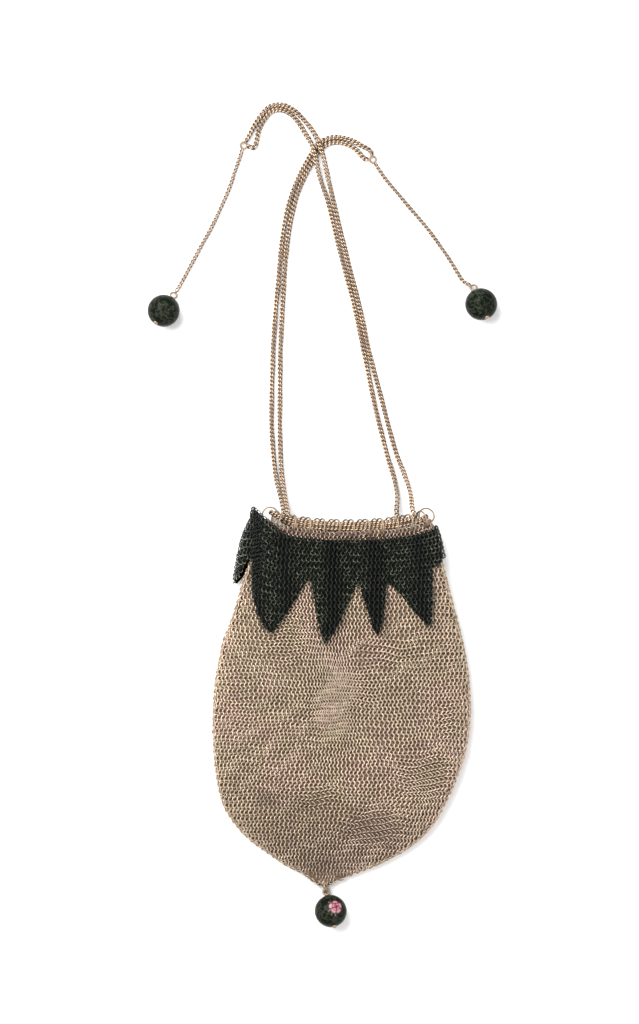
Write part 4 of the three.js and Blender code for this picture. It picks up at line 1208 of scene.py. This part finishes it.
def bottom_ball_frame():
    """The bottom ball's frame: it hangs from the tip's hole by the tip link."""
    turn = math.radians(BOTTOM_BALL_TURN)
    to_tip = np.array([math.cos(turn), math.sin(turn), 0.0])
    reach = 2 * TIP_LINK_RADIUS + PIN_EYE_OFFSET * math.cos(math.radians(BOTTOM_BALL_TILT))
    ball = tip_hole() - to_tip * reach
    return ball_frame(ball[0], ball[1], BOTTOM_BALL_TURN, BOTTOM_BALL_TILT)


def lathe(profile, centre, across, up, steps):
    """Points and faces of a profile of radii and heights turned about the up direction, closed on itself."""
    turn = np.linspace(0, 2 * np.pi, steps, endpoint=False)
    axis = np.cross(across, up)
    radial = np.cos(turn)[:, None] * across + np.sin(turn)[:, None] * axis
    radii, heights = profile[:, 0], profile[:, 1]
    points = centre + radial[:, None, :] * radii[None, :, None] + up * heights[None, :, None]
    return points.reshape(-1, 3), grid_faces(steps, len(profile), closed_rows=True, closed_columns=True)


def add_ball(name, ball, replaced):
    """Add a drilled glass ball."""
    centre, across, up, _ = ball
    bore = PIN_WIRE / 2 + GAP
    start = math.acos(bore / BALL_RADIUS)
    angles = np.linspace(-start, start, BALL_ROWS + 1)
    profile = np.stack([BALL_RADIUS * np.cos(angles), BALL_RADIUS * np.sin(angles)], axis=1)
    bore_end = BALL_RADIUS * math.sin(start) - 0.0003
    profile = np.concatenate([profile, [(bore * 0.8, bore_end), (bore * 0.8, -bore_end)]])
    points, faces = lathe(profile, centre, across, up, BALL_STEPS)
    material = bpy.data.materials.get("dark_green_glass") or glass_finish()
    return add_mesh(name, points, faces, material, replaced)


def add_pin(name, ball, replaced):
    """Add an eye pin: its loop, its shaft through the ball and its domed rivet head."""
    centre, across, up, eye = ball
    radius = PIN_WIRE / 2
    ring = wire_rings(np.array([eye]), np.array([across]), np.array([up]), PIN_EYE_RADIUS, PIN_WIRE,
                      RING_STEPS, RING_SIDES)
    head = -BALL_RADIUS - 0.00012
    top = PIN_EYE_OFFSET - PIN_EYE_RADIUS
    dome = np.linspace(0, np.pi / 2, 6)
    profile = np.concatenate([
        [(0.00001, top), (radius, top), (radius, head), (PIN_HEAD_RADIUS, head)],
        np.stack([PIN_HEAD_RADIUS * np.cos(dome), head - 0.00012 - PIN_HEAD_LENGTH * np.sin(dome)], axis=1),
        [(0.00001, head - 0.00013 - PIN_HEAD_LENGTH)],
    ])
    points, faces = lathe(profile, centre, across, up, 20)
    points = np.concatenate([ring[0], points])
    faces = np.concatenate([ring[1], faces + len(ring[0])])
    hollow = np.concatenate([ring[2] * 0.6, np.zeros(len(points) - len(ring[0]))])
    material = ring_wire_material()
    return add_mesh(name, points, faces, material, replaced, {"hollow": hollow})


def petal(centre, facing, middle, turn, length, width, base, height):
    """Points, faces and edge marks of one raised brush stroke on a ball. Its middle is set off from the way
    it faces by two lengths, and turned about it. It rises from a base height to its own height above that."""
    right = unit(np.cross((0.0, 1.0, 0.0), facing))
    north = np.cross(facing, right)
    rings, spokes = 7, 24
    spread = np.linspace(0.02, 1, rings)
    spoke = np.linspace(0, 2 * np.pi, spokes, endpoint=False)
    u = np.outer(spread, np.cos(spoke)) * length / 2
    v = np.outer(spread, np.sin(spoke)) * width / 2 * (1 + 0.3 * np.outer(spread, np.cos(spoke)))
    x = middle[0] + u * math.cos(turn) - v * math.sin(turn)
    y = middle[1] + u * math.sin(turn) + v * math.cos(turn)
    rise = (base + height * (1 - spread**4))[:, None]
    outward = unit(facing + (x[..., None] * right + y[..., None] * north) / BALL_RADIUS)
    points = centre + outward * (BALL_RADIUS + rise)[..., None]
    faces = grid_faces(rings, spokes, closed_columns=True)
    return points.reshape(-1, 3), faces[:, ::-1], np.repeat(smoothstep(spread, 0.45, 0.95), spokes)


def join(parts):
    """Several lists of points, faces and marks as one."""
    starts = np.cumsum([0] + [len(points) for points, _, _ in parts[:-1]])
    points = np.concatenate([part[0] for part in parts])
    faces = np.concatenate([part[1] + start for part, start in zip(parts, starts)])
    return points, faces, np.concatenate([part[2] for part in parts])


def colour_setting(name, description, default):
    """A colour that a user may change."""
    return bpy.props.FloatVectorProperty(
        name=name, description=description, default=default, size=3, subtype="COLOR", min=0, max=1
    )


def length_setting(name, description, default):
    """A length that a user may change."""
    return bpy.props.FloatProperty(
        name=name, description=description, default=default, unit="LENGTH", precision=5, min=0
    )


def angle_setting(name, description, default):
    """An angle that a user may change."""
    return bpy.props.FloatProperty(name=name, description=description, default=default, subtype="ANGLE")


def light_setting(name, description, default):
    """The strength of a light that a user may change."""
    return bpy.props.FloatProperty(name=name, description=description, default=default, min=0)


class PurseMeshSettings(bpy.types.PropertyGroup):
    """Sizes and colours of the bag's ring mesh"""

    ring_diameter: length_setting("Ring diameter", "Outer diameter of a mesh ring", 0.0025)
    wire: length_setting("Wire", "Thickness of a mesh ring's wire", 0.00055)
    column_pitch: length_setting("Column pitch", "Distance between columns of rings", 0.00174)
    row_pitch: length_setting("Row pitch", "Distance between rows of rings", 0.00133)
    lean: angle_setting("Lean", "How far a ring leans out of the mesh", 0.62)
    khaki: colour_setting("Khaki", "Colour of the yellower patches", (0.51, 0.415, 0.300))
    pink: colour_setting("Pink", "Colour of the pinker patches", (0.54, 0.415, 0.328))
    rim: colour_setting("Rim", "Colour of the rings nearest the rim", (0.40, 0.295, 0.235))
    # Colour of the painted shade on the inner side of the rings
    hollow: colour_setting("Hollow", "Colour inside the rings", (0.17, 0.105, 0.064))
    # Colour of the sheet of painted shade behind the bag's rings
    depth: colour_setting("Depth", "Colour of the mesh's depth", (0.072, 0.043, 0.026))


class PurseCollarSettings(bpy.types.PropertyGroup):
    """Sizes and colours of the dark collar"""

    ring_diameter: length_setting("Ring diameter", "Outer diameter of a collar ring", 0.0024)
    wire: length_setting("Wire", "Thickness of a collar ring's wire", 0.00046)
    column_pitch: length_setting("Column pitch", "Distance between columns of rings", 0.0017)
    row_pitch: length_setting("Row pitch", "Distance between rows of rings", 0.0013)
    lean: angle_setting("Lean", "How far a ring leans out of the mesh", 0.62)
    enamel: colour_setting("Enamel", "Colour of the enamelled wire", (0.006, 0.009, 0.005))
    # Colour of the painted glints on the collar's rings
    painted_glint: colour_setting("Rubbed", "Colour where the enamel is rubbed", (0.85, 0.82, 0.60))
    # Colour of the sheet of painted shade behind the collar and of the painted shade in its pleats
    depth: colour_setting("Depth", "Colour of the collar's depth", (0.002, 0.003, 0.0015))


class PurseChainSettings(bpy.types.PropertyGroup):
    """Sizes and colours of the curb chains and rings"""

    width: length_setting("Width", "Width of a link", 0.00215)
    wire: length_setting("Wire", "Thickness of a link's wire", 0.00071)
    pitch: length_setting("Pitch", "Distance from link to link", 0.0016)
    turn_length: length_setting("Turn", "Length over which the chain rolls to and fro once", 0.031)
    roll: angle_setting("Roll", "How far the chain rolls to each side", 0.55)
    twist: angle_setting("Twist", "How far each link is twisted", 1.45)
    bright: colour_setting("Bright", "Colour of the polished wire", (0.50, 0.365, 0.255))
    # Colour of the painted shade in the links' hollows and low parts, and on the rings' inner sides
    hollow: colour_setting("Hollow", "Colour in the links' hollows", (0.050, 0.021, 0.010))
    ring: colour_setting("Ring", "Colour of the rings and pins", (0.33, 0.245, 0.165))


class PurseBallSettings(bpy.types.PropertyGroup):
    """Colours of the glass balls and the painted flower"""

    glass: colour_setting("Glass", "Colour of the dark glass", (0.004, 0.006, 0.0035))
    swirl: colour_setting("Swirl", "Colour of the faint swirls in the glass", (0.034, 0.038, 0.026))
    petal_light: colour_setting("Petal", "Colour of the flower's petals", (0.46, 0.20, 0.245))
    petal_dark: colour_setting("Petal edge", "Colour of the petals' edges", (0.10, 0.006, 0.016))
    leaf_light: colour_setting("Leaf", "Colour of the leaves", (0.04, 0.05, 0.035))
    leaf_dark: colour_setting("Leaf edge", "Colour of the leaves' edges", (0.03, 0.04, 0.025))


class PurseStageSettings(bpy.types.PropertyGroup):
    """Floor, light and camera"""

    floor: colour_setting("Floor", "Colour of the floor", (0.93, 0.93, 0.93))
    key: light_setting("Key", "Power of the main light in watts", 34.0)
    fill: light_setting("Fill", "Power of the side light in watts", 12.0)
    sky: light_setting("Sky", "Strength of the light all round", 0.40)
    distance: length_setting("Camera distance", "Height of the camera above the surface", 1.6)
    view_height: length_setting("View height", "Height of the view at the surface", 0.4096)


class PURSE_OT_shade_sheets(bpy.types.Operator):
    """Add sheets of painted shade behind the rings of the bag and of the collar"""

    bl_idname = "purse.lining"
    bl_label = "Mesh Depth"

    def execute(self, context):
        angles = np.linspace(0, 2 * np.pi, 144, endpoint=False)
        shares = np.concatenate([np.linspace(0.004, 0.9, 60), np.linspace(0.91, 0.990, 8)])

        def bag_surface(angle, share, depth):
            return bag_point(angle, share, -depth * (0.1 + 0.9 * smoothstep(share, 0, 0.09)))

        points, faces = shell(bag_surface, angles, shares, 0.00110, 0.00135)
        add_mesh("mesh_depth", points, faces, shade_sheet_finish(), ("mesh_bag",))

        def collar_surface(degrees, down, outward):
            top = collar_top(degrees) + 0.0006
            lowest = collar_edge(degrees)[0] - 0.0008
            return collar_point(degrees, top + (lowest - top) * down, outward)

        degrees = np.linspace(0, 360, 480, endpoint=False)
        points, faces = shell(collar_surface, degrees, np.linspace(0, 1, 24), 0.00022, 0.00002)
        points[:, 2] = np.maximum(points[:, 2], 0.0001)
        add_mesh("collar_depth", points, faces, dark_shade_sheet_finish(), ("collar",))
        return {"FINISHED"}


class PURSE_OT_bag(bpy.types.Operator):
    """Add the bag's ring mesh: its front, its back and its side edges"""

    bl_idname = "purse.bag"
    bl_label = "Bag Ring Mesh"

    def execute(self, context):
        material = mesh_wire_finish()
        front = bag_rings(1)
        edge_rings(front, 0.0, 0, 3)
        edge_rings(front, np.pi, -3, 0)
        add_halves("front", front, FRONT_STEPS, FRONT_SIDES, material)
        add_tip_rings(material)
        back = bag_rings(-1)
        edge_rings(back, 0.0, -3, -1)
        edge_rings(back, np.pi, 1, 3)
        add_halves("back", back, BACK_STEPS, BACK_SIDES, material)
        return {"FINISHED"}


class PURSE_OT_collar(bpy.types.Operator):
    """Add the dark pointed collar's ring mesh"""

    bl_idname = "purse.collar"
    bl_label = "Collar Ring Mesh"

    def execute(self, context):
        collar = context.scene.purse_collar
        field = RingField(21, (collar.ring_diameter - collar.wire) / 2, collar.wire, collar.lean)
        rows = math.ceil((POINT_LENGTH + LOBE_RAISE) / collar.row_pitch)
        for row in range(rows):
            collar_row_rings(field, row, collar.column_pitch, collar.row_pitch, 0.0006)
        rings = field.gathered()
        chosen = np.ones(len(rings[0]), dtype=bool)
        add_ring_sheet("ring_mesh_collar", rings, chosen, COLLAR_STEPS, COLLAR_SIDES, dark_wire_finish(),
                       collar.wire)
        return {"FINISHED"}


class PURSE_OT_rim_rings(bpy.types.Operator):
    """Add the wire rings through the rim"""

    bl_idname = "purse.rim_rings"
    bl_label = "Rim Rings"

    def execute(self, context):
        for i, angle in enumerate(ring_angles):
            centre, across, up = rim_ring_frame(angle)
            number = f"{i + 1:02d}"
            add_ring(f"round_rim_ring_{number}", centre, across, up, RIM_RING_RADIUS, RIM_RING_WIRE,
                     (f"rim_ring_{number}",))
        return {"FINISHED"}


class PURSE_OT_chains(bpy.types.Operator):
    """Add the drawstrings, the drop chains and the rings that gather them"""

    bl_idname = "purse.chains"
    bl_label = "Curb Chains"

    def execute(self, context):
        for seed, side in enumerate(("left", "right")):
            add_chain(f"curb_drawstring_{side}", drawstring_points(side), (f"drawstring_{side}",), 31 + seed)
            centre = lay_point(DRAWSTRINGS[side][3])
            centre[2] = max(centre[2], END_RING_WIRE / 2 + 0.0002)
            add_ring(f"round_end_ring_{side}", centre, (1.0, 0.0, 0.0), (0.0, 1.0, 0.0),
                     (END_RING_OUTER - END_RING_WIRE) / 2, END_RING_WIRE, (f"end_ring_{side}",))
        for seed, side in enumerate(("left", "right")):
            x, y, turn, tilt = SIDE_BALLS[side]
            eye = ball_frame(x, RIM_Y + y, turn, tilt)[3]
            route = [lay_point(place) for place in DROP_ROUTES[side]]
            start = meet(lay_point(DRAWSTRINGS[CARRIED_BY[side]][3]), route[0], END_RING_OUTER / 2)
            end = meet(eye, route[-1], PIN_EYE_OUTER)
            points = np.array([start, *route, end])
            add_chain(f"curb_drop_chain_{side}", points, (f"drop_chain_{side}",), 41 + seed, DROP_FINENESS)
        return {"FINISHED"}


class PURSE_OT_balls(bpy.types.Operator):
    """Add the glass balls, their eye pins and the link at the bag's tip"""

    bl_idname = "purse.balls"
    bl_label = "Glass Balls"

    def execute(self, context):
        balls = {"bottom": bottom_ball_frame()}
        for side, (x, y, turn, tilt) in SIDE_BALLS.items():
            balls[side] = ball_frame(x, RIM_Y + y, turn, tilt)
        for side, ball in balls.items():
            add_ball(f"glass_ball_{side}", ball, (f"ball_{side}",))
            add_pin(f"eye_pin_{side}", ball, (f"ball_pin_{side}",))
        eye, hole = balls["bottom"][3], tip_hole()
        up = unit(hole - eye)
        across = np.array([0.0, 0.0, 1.0])
        across = unit(across - up * dot(across, up))
        middle = (hole + eye) / 2
        add_ring("round_tip_link", middle, across, up, TIP_LINK_RADIUS, TIP_LINK_WIRE, ("tip_link",))
        return {"FINISHED"}


class PURSE_OT_flower(bpy.types.Operator):
    """Paint a small plain rose on the bottom ball"""

    bl_idname = "purse.flower"
    bl_label = "Painted Rose"

    def execute(self, context):
        ball = context.scene.purse_ball
        centre = bottom_ball_frame()[0]
        facing = unit(np.array(ROSE_FACING))
        petals = []
        for count, off, length, width, base, first, dark in ROSE:
            for i in range(count):
                turn = 2 * np.pi * i / count + first
                middle = (off * math.cos(turn), off * math.sin(turn))
                stroke = petal(centre, facing, middle, turn + np.pi / 2 + 0.2, length, width, base, 0.00004)
                petals.append((stroke[0], stroke[1], np.maximum(stroke[2], dark)))
        points, faces, edge = join(petals)
        material = paint_finish("rose_enamel", ball.petal_light, ball.petal_dark)
        add_mesh("rose_petals", points, faces, material, marks={"hollow": edge})
        leaves = []
        for turn, off in LEAVES:
            turn = math.radians(turn)
            middle = (off * math.cos(turn), off * math.sin(turn))
            leaves.append(petal(centre, facing, middle, turn + 0.3, 0.0021, 0.0006, 0.00001, 0.00005))
        points, faces, edge = join(leaves)
        material = paint_finish("leaf_enamel", ball.leaf_light, ball.leaf_dark)
        add_mesh("rose_leaves", points, faces, material, marks={"hollow": edge})
        return {"FINISHED"}


class PURSE_OT_stage(bpy.types.Operator):
    """Add the floor, the light and the camera, which looks straight down"""

    bl_idname = "purse.stage"
    bl_label = "Stage"

    def execute(self, context):
        stage = context.scene.purse_stage
        bpy.ops.mesh.primitive_plane_add(size=FLOOR_WIDTH, location=(0, 0, -FLOOR_DROP))
        floor = context.object
        floor.name = "floor"
        finish = Finish("pale_floor")
        grain = finish.noise(60.0, 3.0)
        floor.data.materials.append(finish.surface({
            "Base Color": finish.scaled(rgba(stage.floor), 0.99 + 0.02 * grain),
            "Roughness": 0.9,
            "Specular IOR Level": 0.1,
        }))
        low, high = cad_bounds
        middle = ((low[0] + high[0]) / 2, (low[1] + high[1]) / 2)
        for name, (across, along, height, width) in LIGHTS.items():
            place = (middle[0] + across, middle[1] + along, height)
            light = bpy.data.lights.new(f"{name}_light", "AREA")
            light.energy = getattr(stage, name)
            light.shape = "DISK"
            light.size = width
            lamp = bpy.data.objects.new(f"{name}_light", light)
            lamp.location = place
            aim = np.array([*middle, 0.0]) - np.array(place)
            lamp.rotation_euler = (math.atan2(math.hypot(aim[0], aim[1]), -aim[2]), 0,
                                   math.atan2(aim[1], aim[0]) - math.pi / 2)
            context.collection.objects.link(lamp)
        world = bpy.data.worlds.new("soft_sky")
        context.scene.world = world
        world.use_nodes = True
        background = world.node_tree.nodes["Background"]
        background.inputs["Color"].default_value = (1.0, 1.0, 1.0, 1.0)
        background.inputs["Strength"].default_value = stage.sky
        context.scene.view_settings.view_transform = "Standard"
        camera = bpy.data.objects.new("camera", bpy.data.cameras.new("camera"))
        camera.data.sensor_fit = "VERTICAL"
        camera.data.sensor_height = SENSOR_HEIGHT
        camera.data.lens = camera.data.sensor_height * stage.distance / stage.view_height
        camera.location = (*CAMERA_PLACE, stage.distance)
        context.collection.objects.link(camera)
        context.scene.camera = camera
        return {"FINISHED"}


class PURSE_PT_panel(bpy.types.Panel):
    """The purse's settings and the pieces that they make"""

    bl_label = "Metal Mesh Purse"
    bl_idname = "PURSE_PT_panel"
    bl_space_type = "VIEW_3D"
    bl_region_type = "UI"
    bl_category = "Purse"

    def draw(self, context):
        for name, group in SETTINGS.items():
            box = self.layout.box()
            for key in group.__annotations__:
                box.prop(getattr(context.scene, name), key)
        for operator in OPERATORS:
            self.layout.operator(operator.bl_idname)


SETTINGS = {
    "purse_mesh": PurseMeshSettings,
    "purse_collar": PurseCollarSettings,
    "purse_chain": PurseChainSettings,
    "purse_ball": PurseBallSettings,
    "purse_stage": PurseStageSettings,
}
OPERATORS = (
    PURSE_OT_stage,
    PURSE_OT_shade_sheets,
    PURSE_OT_bag,
    PURSE_OT_collar,
    PURSE_OT_rim_rings,
    PURSE_OT_chains,
    PURSE_OT_balls,
    PURSE_OT_flower,
)


def register():
    """Register the classes and hang the settings on the scene."""
    for name, group in SETTINGS.items():
        bpy.utils.register_class(group)
        setattr(bpy.types.Scene, name, bpy.props.PointerProperty(type=group))
    for operator in OPERATORS:
        bpy.utils.register_class(operator)
    bpy.utils.register_class(PURSE_PT_panel)


def unregister():
    """Take the settings off the scene and unregister the classes."""
    bpy.utils.unregister_class(PURSE_PT_panel)
    for operator in reversed(OPERATORS):
        bpy.utils.unregister_class(operator)
    for name, group in SETTINGS.items():
        delattr(bpy.types.Scene, name)
        bpy.utils.unregister_class(group)


def main():
    """Register the classes and make every piece in order."""
    register()
    bpy.ops.purse.stage()
    bpy.ops.purse.lining()
    bpy.ops.purse.bag()
    bpy.ops.purse.collar()
    bpy.ops.purse.rim_rings()
    bpy.ops.purse.chains()
    bpy.ops.purse.balls()
    bpy.ops.purse.flower()


if __name__ == "__main__":
    main()
